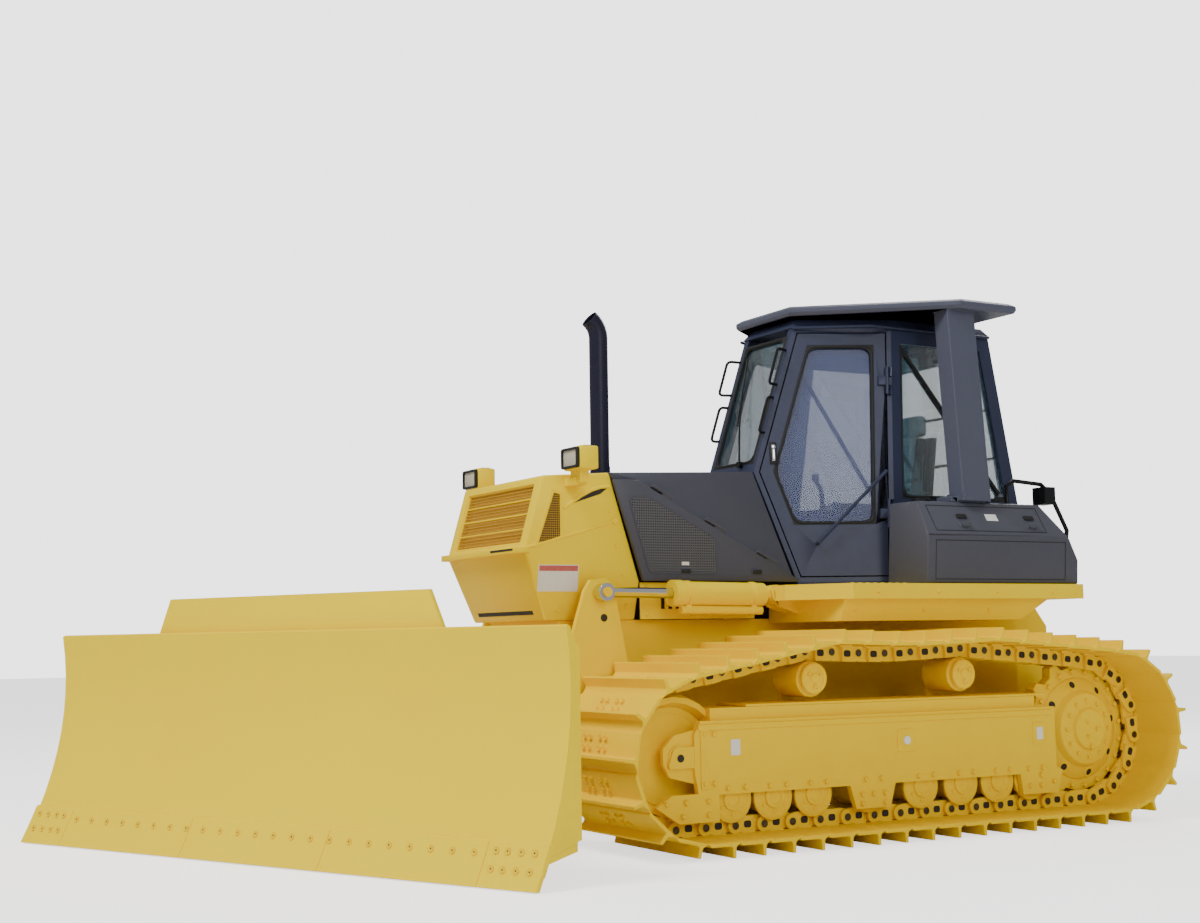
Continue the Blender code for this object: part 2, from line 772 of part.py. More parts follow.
def cover(side):
    """Gull-wing engine side cover, hinged along its sloping top edge."""
    name = side_name("engine_cover", side)
    rear_foot, rear_top = NOSE_REAR_Y
    outline = [
        (rear_foot + RUN, COVER_Z), (CREASE_REAR[0] - 0.02, COVER_Z), CREASE_REAR,
        (CREASE_FRONT[0], CREASE_FRONT[1] - 0.01), (rear_top + RUN, CREASE_FRONT[1] - 0.01),
    ]
    near = HOOD_HALF_W + 0.004
    obj = side_plate(name, outline, *sorted((side * near, side * (near + COVER_T))), 0.006)
    for y in (-1.02, -0.52):
        latch = box(
            name + "_latch", (side * (near + COVER_T) - 0.008, y - 0.035, COVER_Z + 0.045),
            (side * (near + COVER_T) + 0.008, y + 0.035, COVER_Z + 0.075),
        )
        fuse(obj, latch)
    for part in CREASE_PARTS:
        fuse(obj, crease_knuckle(name + "_knuckle", side, part, False))
    return paint(obj, GREY, 0.5)


def stack():
    """Exhaust: a straight pipe whose end is bent forward and cut off."""
    part = (STACK_Y + STACK_R - NOSE_REAR_Y[1]) / (CAB_FRONT[1][1] - NOSE_REAR_Y[1])
    foot = HOOD_TOP_Z[0] + (HOOD_TOP_Z[1] - HOOD_TOP_Z[0]) * part + GAP
    rise = STACK_TOP_Z - 0.10
    points = [(STACK_X, STACK_Y, foot), (STACK_X, STACK_Y, rise)]
    for i in range(1, 6):
        angle = radians(11) * i
        bend = 0.14
        points.append((STACK_X, STACK_Y - bend * (1 - cos(angle)), rise + bend * sin(angle)))
    obj = pipe("exhaust_stack", points, STACK_R, 4)
    bore = [Vector(p) for p in points[1:]]
    bore.append(bore[-1] + (bore[-1] - bore[-2]) * 3)
    cut(obj, pipe("stack_bore", bore, STACK_R - 0.006, 4))
    return paint(obj, NAVY, 0.5)


def front_lamp(side):
    name = side_name("front_lamp", side)
    half = LAMP_W / 2
    x = side * LAMP_X
    obj = box(name, (x - half, LAMP_Y[0], LAMP_Z[0]), (x + half, LAMP_Y[1], LAMP_Z[1]), 0.012)
    inner = side * (HOOD_HALF_W + GAP)
    arm = sorted((inner, side * (LAMP_X - 0.02)))
    fuse(obj, box(name + "_arm", (arm[0], LAMP_Y[0] + 0.03, 1.99), (arm[1], LAMP_Y[1] - 0.01, 2.035)))
    post = sorted((side * (HOOD_HALF_W + 0.05), side * (LAMP_X + 0.02)))
    fuse(obj, box(name + "_post", (post[0], LAMP_Y[0] + 0.04, 2.0), (post[1], LAMP_Y[1] - 0.02, 2.10)))
    return paint(obj, YELLOW, 0.4)


# ---------------------------------------------------------------- decks and boxes

def deck(side):
    name = side_name("deck", side)
    inner, outer = DECK_X
    front, rear = DECK_Y
    low, high = DECK_Z
    outline = [
        (inner, front), (0.82, front), (outer, DECK_FLARE_Y), (outer, rear), (inner, rear),
    ]
    obj = level_plate(name, [(side * x, y) for x, y in outline], low, high)
    under = on_side(side, [
        (inner, UNDER_Y[0], UNDER_Z), (outer - 0.10, UNDER_Y[0] + 0.06, UNDER_Z),
        (inner, UNDER_Y[1], UNDER_Z), (outer - 0.10, UNDER_Y[1], UNDER_Z),
        (inner, UNDER_Y[0], low + 0.02), (outer - 0.05, UNDER_Y[0] + 0.06, low + 0.02),
        (inner, DECK_LIP_REAR, low + 0.02), (outer - 0.05, DECK_LIP_REAR, low + 0.02),
    ])
    fuse(obj, hull(name + "_under", under))
    foot_y, foot_z = LIFT_FOOT
    near = EYE_WIDTH / 2 + 0.003
    cheek = [
        (foot_y - 0.045, foot_z + 0.03), (foot_y - 0.045, foot_z - 0.03), (foot_y - 0.01, foot_z - 0.07),
        (UNDER_Y[0] + 0.10, UNDER_Z + 0.02), (UNDER_Y[0] + 0.10, high - 0.005), (foot_y - 0.02, high - 0.005),
    ]
    for hand in (-1, 1):
        faces = (side * (LIFT_X + hand * near), side * (LIFT_X + hand * (near + 0.028)))
        fuse(obj, side_plate(name + "_cheek", cheek, *sorted(faces)))
    slot = sorted((side * (LIFT_X - near), side * (LIFT_X + near)))
    room = LIFT_BARREL_R * 0.85 + RUN
    cut(obj, box(name + "_slot", (slot[0], front - 0.2, UNDER_Z - 0.1), (slot[1], foot_y + room, high + 0.1)))
    pin = sorted((side * (LIFT_X - near - 0.045), side * (LIFT_X + near + 0.045)))
    fuse(obj, rod(name + "_pin", (pin[0], foot_y, foot_z), (pin[1], foot_y, foot_z), PIN_R, 16))
    return paint(obj, YELLOW, 0.4)


def side_box(side):
    """Dark tank box behind the cab door, with sloping shoulders."""
    name = side_name("tank", side)
    inner, outer = BOX_X
    front, rear = BOX_Y
    foot = DECK_Z[1] + GAP
    lean = 0.02
    rear_z = 1.58
    rear_x = outer - lean * (BOX_SHOULDER_Z - rear_z) / (BOX_SHOULDER_Z - foot)
    corners = on_side(side, [
        (inner, front, foot), (outer - lean, front, foot), (outer - lean, rear, foot), (inner, rear, foot),
        (outer, front, BOX_SHOULDER_Z), (outer, rear - 0.08, BOX_SHOULDER_Z), (rear_x, rear, rear_z),
        (inner, rear, 1.58), (inner, rear - 0.20, BOX_TOP_Z), (inner, front + 0.03, BOX_TOP_Z),
        (outer - BOX_SLOPE, front + 0.03, BOX_TOP_Z), (outer - BOX_SLOPE, rear - 0.20, BOX_TOP_Z),
    ])
    obj = hull(name, corners, 0.010)
    for y in (0.62, 1.16):
        at = side * (outer - 0.045)
        fuse(obj, box(name + "_latch", (at - 0.02, y - 0.035, 1.775), (at + 0.03, y + 0.035, 1.80)))
    return paint(obj, GREY, 0.5)


# ---------------------------------------------------------------- cab

def cab_corners(inset=0.0, reach=0.0):
    """Corners of the six-sided cab. Inset moves the walls in, and reach the floor and roof out."""
    low, kink, high = CAB_Z
    points = [
        (CAB_FRONT[0][0] - inset, CAB_FRONT[0][1] + inset, low - reach),
        (CAB_FRONT[1][0] - inset, CAB_FRONT[1][1] + inset, kink),
        (CAB_FRONT[2][0] - inset, CAB_FRONT[2][1] + inset, high + reach),
        (CAB_DOOR_REAR[0][0] - inset, CAB_DOOR_REAR[0][1], low - reach),
        (CAB_DOOR_REAR[1][0] - inset, CAB_DOOR_REAR[1][1], high + reach),
        (CAB_REAR[0][0] - inset, CAB_REAR[0][1] - inset, low - reach),
        (CAB_REAR[1][0] - inset, CAB_REAR[1][1] - inset, high + reach),
    ]
    return both(points)


def door_plane(side):
    """Matrix of the door's outer face: u runs forward, v up the face, and the third axis outward."""
    foot = Vector((side * CAB_DOOR_REAR[0][0], CAB_DOOR_REAR[0][1], CAB_Z[0]))
    front = Vector((side * CAB_FRONT[0][0], CAB_FRONT[0][1], CAB_Z[0]))
    head = Vector((side * CAB_DOOR_REAR[1][0], CAB_DOOR_REAR[1][1], CAB_Z[2]))
    u = (front - foot).normalized()
    out = u.cross(head - foot).normalized() * -side
    v = out.cross(u) * side
    if v.z < 0:
        v = -v
    turn = Matrix((u, v, u.cross(v))).transposed().to_4x4()
    return Matrix.Translation(foot) @ turn


def in_plane(placed, point):
    local = placed.inverted() @ Vector(point)
    return Vector((local.x, local.y))


def door_outline(side):
    placed = door_plane(side)
    low, kink, high = CAB_Z
    corners = [
        (side * CAB_DOOR_REAR[0][0], CAB_DOOR_REAR[0][1], low),
        (side * CAB_FRONT[0][0], CAB_FRONT[0][1], low),
        (side * CAB_FRONT[1][0], CAB_FRONT[1][1], kink),
        (side * CAB_FRONT[2][0], CAB_FRONT[2][1], high),
        (side * CAB_DOOR_REAR[1][0], CAB_DOOR_REAR[1][1], high),
    ]
    return [in_plane(placed, corner) for corner in corners]


def inset(outline, distance):
    """The convex outline moved in by the distance on every edge."""
    count = len(outline)
    area = sum(outline[i - 1].cross(outline[i]) for i in range(count))
    hand = 1 if area > 0 else -1
    lines = []
    for i in range(count):
        start = outline[i]
        along = (outline[(i + 1) % count] - start).normalized()
        normal = Vector((-along.y, along.x)) * hand
        lines.append((start + normal * distance, along))
    points = []
    for i in range(count):
        p, d = lines[i - 1]
        q, e = lines[i]
        points.append(p + d * ((q - p).cross(e) / d.cross(e)))
    return points


def tuples(outline):
    return [tuple(point) for point in outline]


def lift_off(placed, distance):
    """The plane moved along the outward normal. The third axis of the left plane points in."""
    moved = placed.copy()
    out = Vector((placed[0][2], placed[1][2], placed[2][2]))
    if out.x * placed[0][3] < 0:
        out = -out
    moved.translation = placed.translation + out * distance
    return moved


def cab_frame():
    """Pillars and lower walls in one shell. The exact solver leaves its edges open."""
    obj = hull("cab_frame", cab_corners())
    cut(obj, hull("cab_room", cab_corners(CAB_WALL, 0.2)), "MANIFOLD")
    for side in (-1, 1):
        opening = inset(door_outline(side), DOOR_EDGE)
        tool = sheet_in("door_opening", [tuples(opening)], 0.20, door_plane(side))
        cut(obj, tool, "MANIFOLD")
    cut(obj, windshield_shape("windshield_opening", 0.035, -0.2, 0.2), "MANIFOLD")
    cut(obj, side_window_shape("side_window_opening", 0.0, -1.0, 1.0), "MANIFOLD")
    cut(obj, rear_window_shape("rear_window_opening", 0.0, -0.2, 0.2), "MANIFOLD")
    apart = 2 * HINGE_HALF_L + GAP
    for side in (-1, 1):
        for v in HINGE_V:
            for at in (v - apart, v + apart):
                leaf = door_knuckle("cab_knuckle", side, at, (0.004, DOOR_EDGE - 0.001))
                fuse(obj, leaf, "MANIFOLD")
    return paint(obj, NAVY, 0.45)


def windshield_shape(name, edge, low_shift, high_shift):
    foot_x, foot_y = CAB_FRONT[1]
    head_x, head_y = CAB_FRONT[2]
    _, kink, high = CAB_Z
    rise = edge + 0.02
    slope = (head_y - foot_y) / (high - kink)
    points = []
    for shift in (low_shift, high_shift):
        for half, z in ((foot_x - edge, kink + rise), (head_x - edge, high - rise)):
            y = foot_y + slope * (z - kink) + shift
            points += [(half, y, z), (-half, y, z)]
    return hull(name, points)


SIDE_WINDOW_Z = (1.98, 2.98)


def side_window_shape(name, shrink, low_x, high_x):
    low, high = SIDE_WINDOW_Z
    front_low = wall_y(CAB_DOOR_REAR, low) + 0.07 + shrink
    front_high = wall_y(CAB_DOOR_REAR, high) + 0.07 + shrink
    rear_low = wall_y(CAB_REAR, low) - 0.10 - shrink
    rear_high = wall_y(CAB_REAR, high) - 0.10 - shrink
    outline = [
        (front_low, low + shrink), (rear_low, low + shrink), (rear_high, high - shrink),
        (front_high, high - shrink),
    ]
    return side_plate(name, outline, low_x, high_x)


def wall_y(pair, z):
    part = (z - CAB_Z[0]) / (CAB_Z[2] - CAB_Z[0])
    return pair[0][1] + (pair[1][1] - pair[0][1]) * part


def wall_x(pair, z):
    part = (z - CAB_Z[0]) / (CAB_Z[2] - CAB_Z[0])
    return pair[0][0] + (pair[1][0] - pair[0][0]) * part


def rear_window_shape(name, shrink, low_shift, high_shift):
    low, high = SIDE_WINDOW_Z
    points = []
    for shift in (low_shift, high_shift):
        for z in (low + shrink, high - shrink):
            half = wall_x(CAB_REAR, z) - 0.10 - shrink
            y = wall_y(CAB_REAR, z) + shift
            points += [(half, y, z), (-half, y, z)]
    return hull(name, points)


def windshield():
    obj = windshield_shape("windshield", 0.035 + GAP * 2, 0.012, 0.012 + GLASS_T)
    return paint(obj, GLASS, 0.05)


def rear_glass():
    obj = rear_window_shape("rear_glass", GAP * 2, -0.012 - GLASS_T, -0.012)
    return paint(obj, GLASS, 0.05)


def side_glass(side):
    """Pane of the fixed window behind the door."""
    low, high = SIDE_WINDOW_Z
    edge = GAP * 2
    points = []
    for depth in (0.012, 0.012 + GLASS_T):
        for z in (low + edge, high - edge):
            front = wall_y(CAB_DOOR_REAR, z) + 0.07 + edge
            rear = wall_y(CAB_REAR, z) - 0.10 - edge
            for y in (front, rear):
                points.append((side * (side_wall_x(y, z) - depth), y, z))
    obj = hull(side_name("side_glass", side), points)
    return paint(obj, GLASS, 0.05)


def side_wall_x(y, z):
    """x of the outer face of the wall behind the door."""
    front = wall_y(CAB_DOOR_REAR, z)
    rear = wall_y(CAB_REAR, z)
    part = (y - front) / (rear - front)
    return wall_x(CAB_DOOR_REAR, z) + (wall_x(CAB_REAR, z) - wall_x(CAB_DOOR_REAR, z)) * part


def cab_floor():
    low = CAB_Z[0]
    points = []
    for z in (DECK_Z[1] + GAP, low - GAP):
        points += [
            (CAB_FRONT[0][0], CAB_FRONT[0][1], z), (CAB_DOOR_REAR[0][0], CAB_DOOR_REAR[0][1], z),
            (CAB_REAR[0][0], CAB_REAR[0][1], z),
        ]
    obj = hull("cab_floor", both(points))
    return paint(obj, NAVY, 0.7)


def cab_roof():
    high = CAB_Z[2]
    points = []
    for z, out in ((high + GAP, 0.012), (high + CAB_ROOF_T, -0.03)):
        points += [
            (CAB_FRONT[2][0] + out, CAB_FRONT[2][1] - out, z),
            (CAB_DOOR_REAR[1][0] + out, CAB_DOOR_REAR[1][1], z),
            (CAB_REAR[1][0] + out, CAB_REAR[1][1] + out, z),
        ]
    obj = hull("cab_roof", both(points), 0.006)
    return paint(obj, NAVY, 0.45)


def hinge_plane(side):
    """The door's plane turned so that v runs up the door's rear edge."""
    placed = door_plane(side)
    head = in_plane(placed, (side * CAB_DOOR_REAR[1][0], CAB_DOOR_REAR[1][1], CAB_Z[2]))
    return placed @ Matrix.Rotation(-atan2(head.x, head.y), 4, "Z")


def door_hinge_point(side, v):
    """A point of the door's hinge line, which lies a little outside the door's rear edge."""
    placed = lift_off(hinge_plane(side), HINGE_OUT)
    return placed @ Vector((DOOR_EDGE + RUN / 2, v, 0))


def door_knuckle(name, side, v, u_range):
    """Piece of the hinge with its leaf, on the door or on the cab, as the leaf's range says."""
    half = HINGE_HALF_L
    low = door_hinge_point(side, v - half)
    high = door_hinge_point(side, v + half)
    obj = rod(name, low, high, HINGE_R, 10)
    u_low, u_high = u_range
    leaf = [(u_low, v - half), (u_high, v - half), (u_high, v + half), (u_low, v + half)]
    placed = lift_off(hinge_plane(side), HINGE_OUT / 2 - 0.002)
    return fuse(obj, sheet_in(name + "_leaf", [leaf], HINGE_OUT + 0.004, placed))


def crease_point(side, part, off):
    """A point along the engine cover's sloping top edge, moved off it by the distance."""
    start = Vector(CREASE_FRONT)
    along = Vector(CREASE_REAR) - start
    up = Vector((-along.y, along.x)).normalized()
    at = start + along * part + up * off
    return Vector((side * (HOOD_HALF_W + 0.004 + COVER_T / 2), at.x, at.y))


def crease_knuckle(name, side, part, inside):
    """Piece of the cover's hinge. Its leaf goes down into the cover or in to the hood."""
    half = CREASE_HALF
    low = crease_point(side, part - half, CREASE_OFF)
    high = crease_point(side, part + half, CREASE_OFF)
    obj = rod(name, low, high, HINGE_R, 8)
    depth = Vector((-side * 0.075, 0, 0)) if inside else Vector((0, 0, 0))
    points = []
    for t in (part - half, part + half):
        if inside:
            for off in (CREASE_OFF - 0.006, CREASE_OFF + 0.006):
                points += [crease_point(side, t, off), crease_point(side, t, off - 0.016) + depth]
        else:
            for across in (-0.006, 0.006):
                shift = Vector((across, 0, 0))
                points += [crease_point(side, t, CREASE_OFF) + shift, crease_point(side, t, -0.03) + shift]
    return fuse(obj, hull(name + "_leaf", points))


def cab_door(side):
    name = side_name("cab_door", side)
    placed = lift_off(door_plane(side), -DOOR_T / 2)
    outline = inset(door_outline(side), DOOR_EDGE + RUN)
    obj = sheet_in(name, [tuples(outline)], DOOR_T, placed)
    cut(obj, sheet_in(name + "_window", [window_outline(side)], DOOR_T * 3, placed))
    outer = lift_off(door_plane(side), 0.045)
    rail = [in_plane(outer, p) for p in ((side * 0.50, -0.02, 1.70), (side * 0.62, 0.42, 2.14))]
    start, end = (outer @ Vector((p.x, p.y, 0)) for p in rail)
    face = lift_off(door_plane(side), -0.02).translation - outer.translation
    points = [start + face, start, end, end + face]
    fuse(obj, pipe(name + "_rail", points, 0.011))
    for v in HINGE_V:
        fuse(obj, door_knuckle("door_knuckle", side, v, (DOOR_EDGE + RUN + 0.001, DOOR_EDGE + RUN + 0.05)))
    return paint(obj, NAVY, 0.45)


def window_outline(side, shrink=0.0):
    """The door's window: the door outline with a wide frame and a higher sill."""
    frame = inset(door_outline(side), DOOR_EDGE + DOOR_FRAME + shrink)
    sill = 0.36 + shrink
    bottom_rear, bottom_front, kink, top_front, top_rear = frame
    lower = bottom_rear + (top_rear - bottom_rear) * ((sill - bottom_rear.y) / (top_rear.y - bottom_rear.y))
    front = bottom_front + (kink - bottom_front) * ((sill - bottom_front.y) / (kink.y - bottom_front.y))
    return tuples([lower, front, kink, top_front, top_rear])


def door_glass(side):
    name = side_name("door_glass", side)
    placed = lift_off(door_plane(side), -DOOR_T / 2)
    obj = sheet_in(name, [window_outline(side, GAP * 2)], GLASS_T, placed)
    return paint(obj, GLASS, 0.05)


def seat():
    floor = CAB_Z[0] + GAP
    obj = box("seat", (-0.17, 0.62, floor), (0.17, 1.02, floor + 0.26), 0.01)
    fuse(obj, box("seat_pan", (-0.24, 0.55, floor + 0.25), (0.24, 1.08, floor + 0.30), 0.01))
    back = hull("seat_shell", both([
        (0.22, 1.04, floor + 0.27), (0.22, 1.10, floor + 0.27), (0.20, 1.16, floor + 0.98), (0.20, 1.21, floor + 0.98),
    ]))
    fuse(obj, back)
    for side in (-1, 1):
        x = side * 0.34
        fuse(obj, box("console", (x - 0.08, 0.56, floor), (x + 0.08, 1.10, floor + 0.52), 0.015))
        bracket = sorted((side * 0.16, side * 0.28))
        fuse(obj, box("console_bracket", (bracket[0], 0.70, floor), (bracket[1], 0.95, floor + 0.12)))
        lever = [(x, 0.66, floor + 0.50), (x, 0.64, floor + 0.66), (x, 0.60, floor + 0.72)]
        fuse(obj, pipe("lever", lever, 0.016))
    return paint(obj, BLACK, 0.6)


def seat_cushion():
    floor = CAB_Z[0] + GAP
    obj = box("seat_cushion", (-0.235, 0.54, floor + 0.30 + GAP), (0.235, 1.00, floor + 0.41), 0.03)
    return paint(obj, (0.03, 0.03, 0.035), 0.9)


def seat_backrest():
    floor = CAB_Z[0] + GAP
    points = both([
        (0.21, 0.95, floor + 0.43), (0.21, 1.0665, floor + 0.43), (0.18, 1.07, floor + 1.00), (0.18, 1.163, floor + 1.00),
    ])
    obj = hull("seat_backrest", points, 0.025)
    return paint(obj, (0.03, 0.03, 0.035), 0.9)


def dash():
    floor = CAB_Z[0] + GAP
    obj = hull("dashboard", both([
        (0.22, -0.02, floor), (0.22, 0.12, floor), (0.20, -0.20, floor + 0.72), (0.20, -0.04, floor + 0.74),
        (0.20, -0.20, floor + 0.60), (0.20, 0.02, floor + 0.60),
    ]), 0.01)
    return paint(obj, BLACK, 0.6)


def rops():
    """Roll-over frame: a canopy on two leaning posts, footed on the side boxes."""
    low, high = ROPS_Z
    points = []
    for z, out in ((low, -0.012), (low + 0.02, 0.0), (high - 0.02, 0.0), (high, -0.03)):
        points += [
            (ROPS_FRONT[0] + out, ROPS_FRONT[1] - out, z), (ROPS_CORNER[0] + out, ROPS_CORNER[1] - out, z),
            (ROPS_CORNER[0] + out, ROPS_REAR_Y + out, z),
        ]
    obj = hull("rops_canopy", both(points))
    half_x, half_y = POST_SIZE[0] / 2, POST_SIZE[1] / 2
    for side in (-1, 1):
        foot_x, foot_y, foot_z = POST_FOOT
        head_x, head_y = POST_HEAD
        post = []
        for x, y, z in ((foot_x, foot_y, foot_z + 0.002), (head_x, head_y, low + 0.02)):
            for dx in (-half_x, half_x):
                for dy in (-half_y, half_y):
                    post.append((side * (x + dx), y + dy, z))
        fuse(obj, hull("post", post))
        pad = sorted((side * (foot_x - 0.13), side * (BOX_X[1] - BOX_SLOPE - 0.01)))
        base = BOX_TOP_Z + GAP
        fuse(obj, box("pad", (pad[0], foot_y - 0.16, base), (pad[1], foot_y + 0.16, base + 0.035)))
    return paint(obj, GREY, 0.5)


def rear_rail(side):
    """Looped handrail with a work lamp at the back of a side box."""
    name = side_name("rear_rail", side)
    x = side * 0.93
    top = BOX_TOP_Z + GAP
    points = [
        (x, 1.13, top), (x, 1.13, top + 0.12), (x, 1.19, top + 0.155), (x, 1.42, top + 0.14),
        (x, 1.50, top + 0.08), (x, 1.63, top - 0.15), (x, 1.62, top - 0.20), (x, 1.57, top - 0.27),
        (x, 1.4725, top - 0.27),
    ]
    obj = pipe(name, points, 0.014)
    lamp = box(name + "_lamp", (x - 0.055, 1.40, top + 0.01), (x + 0.055, 1.49, top + 0.12))
    fuse(obj, lamp)
    return paint(obj, BLACK, 0.5)


# ---------------------------------------------------------------- C-frame and blade

def c_frame():
    """U-shaped push frame: two arms, a crossbar, the nose with the blade's socket, and two uprights."""
    low, high = ARM_Z
    axis_y, axis_z = LIFT_AXIS
    front = ARM_FRONT_Y
    obj = box("c_frame", (-ARM_X[1], front, low), (ARM_X[1], front + 0.20, high), 0.012)
    for side in (-1, 1):
        left, right = sorted((side * ARM_X[0], side * ARM_X[1]))
        arm = [
            (axis_y + 0.10, axis_z - 0.06), (axis_y + 0.10, axis_z + 0.06), (axis_y - 0.10, high),
            (front + 0.02, high), (front + 0.02, low), (axis_y - 0.10, low),
        ]
        fuse(obj, side_plate("arm", arm, left, right))
        stub = sorted((side * (HULL_HALF_W + GAP * 2), side * (ARM_X[1] - 0.01)))
        fuse(obj, rod("trunnion", (stub[0], axis_y, axis_z), (stub[1], axis_y, axis_z), 0.07, 24))
        brace = [
            (side * ARM_X[1], front + 0.06), (side * (ARM_X[1] - 0.12), front + 0.18),
            (side * 0.06, BLADE_PIVOT_Y + 0.22), (side * 0.10, BLADE_PIVOT_Y + 0.12),
            (side * 0.20, BLADE_PIVOT_Y + 0.12),
        ]
        fuse(obj, level_plate("brace", brace, low + 0.01, high - 0.01))
        eye_y, eye_z = LIFT_EYE
        lever = [
            (eye_y - 0.10, eye_z + 0.01), (eye_y - 0.06, eye_z + 0.07), (eye_y + 0.04, eye_z + 0.08),
            (eye_y + 0.09, eye_z + 0.02), (eye_y + 0.24, high - 0.02), (eye_y + 0.24, low + 0.02),
            (eye_y - 0.34, low + 0.02), (eye_y - 0.34, high),
        ]
        left, right = sorted((side * LEVER_X[0], side * LEVER_X[1]))
        web = side_plate("lever", lever, left, right)
        fuse(obj, web)
        foot = sorted((side * (ARM_X[1] - 0.01), side * (LEVER_X[1] - 0.01)))
        fuse(obj, box("lever_foot", (foot[0], eye_y - 0.30, low + 0.03), (foot[1], eye_y + 0.20, high - 0.02)))
        lug_x, lug_y = ANGLE_FOOT
        foot_top = ANGLE_Z - EYE_WIDTH / 2 - GAP
        fuse(obj, box("angle_lug", (side * lug_x - 0.05, lug_y - 0.028, high - 0.02), (side * lug_x + 0.05, lug_y + 0.08, foot_top)))
    neck = [(-0.07, BLADE_PIVOT_Y), (0.07, BLADE_PIVOT_Y), (0.30, front + 0.05), (-0.30, front + 0.05)]
    fuse(obj, level_plate("neck", neck, low, high))
    fuse(obj, rod("socket", (0, BLADE_PIVOT_Y, low), (0, BLADE_PIVOT_Y, high), SOCKET_R, 28))
    cut(obj, rod("socket_bore", (0, BLADE_PIVOT_Y, low - 0.1), (0, BLADE_PIVOT_Y, high + 0.1), SWING_PIN_R + GAP * 2, 24))
    return paint(obj, YELLOW, 0.45)


def carrier():
    """Swing block on the C-frame's socket with a crossbeam behind the blade."""
    low, high = BEAM_Z
    near, far = (BLADE_PIVOT_Y + y for y in BEAM_Y)
    obj = box("blade_carrier", (-BEAM_HALF_W, near, low), (BEAM_HALF_W, far, high), 0.010)
    post = rod("swing_pin", (0, BLADE_PIVOT_Y, low), (0, BLADE_PIVOT_Y, high), SWING_PIN_R, 24)
    fuse(obj, post)
    fork = [(-0.16, far - 0.01), (0.16, far - 0.01), (0.09, BLADE_PIVOT_Y + 0.06), (-0.09, BLADE_PIVOT_Y + 0.06)]
    fuse(obj, level_plate("fork", fork, low + 0.005, ARM_Z[0] - 0.005))
    fuse(obj, level_plate("fork", fork, ARM_Z[1] + 0.005, high - 0.005))
    blade_face = BLADE_PIVOT_Y - BLADE_BACK + 0.015 + GAP
    fuse(obj, rod("tilt_boss", (0, near + 0.01, BLADE_PIVOT_Z), (0, blade_face, BLADE_PIVOT_Z), 0.10, 28))
    lug_x, lug_y = ANGLE_LUG
    for side in (-1, 1):
        lug = box(
            "lug", (side * lug_x - 0.045, far - 0.01, ANGLE_Z - EYE_WIDTH / 2 - 0.043),
            (side * lug_x + 0.045, BLADE_PIVOT_Y + lug_y + 0.045, ANGLE_Z - EYE_WIDTH / 2 - 0.003),
        )
        fuse(obj, lug)
    mast = [
        (TILT_FOOT_X - 0.07, TILT_Z + 0.05), (TILT_FOOT_X + 0.07, TILT_Z + 0.05),
        (TILT_FOOT_X + 0.16, high - 0.01), (TILT_FOOT_X - 0.10, high - 0.01),
    ]
    fuse(obj, cross_plate("mast", mast, near, near + 0.05))
    eye_face = BLADE_PIVOT_Y + TILT_Y - EYE_WIDTH / 2 - GAP
    fuse(obj, rod("mast_boss", (TILT_FOOT_X, near + 0.04, TILT_Z), (TILT_FOOT_X, eye_face, TILT_Z), 0.034, 20))
    return paint(obj, YELLOW, 0.45)


def blade_face_y(z):
    """The moldboard's front at a height: a hollow arc between the cutting edge and the top."""
    whole = (z - BLADE_FLOOR) / BLADE_HEIGHT
    straight = -BLADE_REACH + (BLADE_REACH - BLADE_TOP_REACH) * whole
    return BLADE_PIVOT_Y + straight + BLADE_HOLLOW * 4 * whole * (1 - whole)


def blade_strip(depth, low, high, steps):
    """Points up the moldboard at a depth behind its front."""
    heights = [low + (high - low) * i / steps for i in range(steps + 1)]
    return [(blade_face_y(z) + depth, z) for z in heights]


def blade():
    """Moldboard with its cutting edge, beams, ribs, centre plate, spill guard and tilt lug."""
    half = BLADE_WIDTH / 2
    top = BLADE_FLOOR + BLADE_HEIGHT
    skin = blade_strip(0.0, 0.06, top, 10) + blade_strip(BLADE_T, 0.06, top, 10)[::-1]
    obj = side_plate("blade", skin, -half + 0.01, half - 0.01)
    edge = blade_strip(-EDGE_T * 0.6, BLADE_FLOOR, EDGE_H, 3)
    edge += blade_strip(EDGE_T * 0.4, BLADE_FLOOR, EDGE_H, 3)[::-1]
    fuse(obj, side_plate("cutting_edge", edge, -half, half))
    back = BLADE_PIVOT_Y - BLADE_BACK
    inside = BLADE_T * 0.6
    for low, high in ((0.11, 0.36), (top - 0.20, top - 0.01)):
        beam = blade_strip(inside, low, high, 2)
        beam += [(back - 0.03, high - 0.04), (back - 0.03, low + 0.04)]
        fuse(obj, side_plate("beam", beam, -half + 0.02, half - 0.02))
    rib = blade_strip(inside, 0.15, top - 0.05, 4)
    rib += [(back, top - 0.10), (back, 0.20)]
    for x in RIB_X:
        for side in (-1, 1):
            fuse(obj, side_plate("rib", rib, side * x - 0.012, side * x + 0.012))
    plate = blade_strip(inside, 0.34, 1.02, 3)
    plate += [(back + 0.015, 1.02), (back + 0.015, 0.34)]
    fuse(obj, side_plate("centre_plate", plate, -0.60, 0.60))
    eye_face = BLADE_PIVOT_Y + TILT_Y - EYE_WIDTH / 2 - 0.003
    lug_low = (TILT_EYE_X - 0.04, back, TILT_Z - 0.045)
    fuse(obj, box("tilt_lug", lug_low, (TILT_EYE_X + 0.04, eye_face, TILT_Z + 0.045)))
    foot, head = GUARD_HALF_W
    guard = [(-foot, top - 0.05), (foot, top - 0.05), (head, top + GUARD_H), (-head, top + GUARD_H)]
    guard_y = blade_face_y(top) + 0.06
    fuse(obj, cross_plate("spill_guard", guard, guard_y, guard_y + 0.025))
    return paint(obj, YELLOW, 0.35)


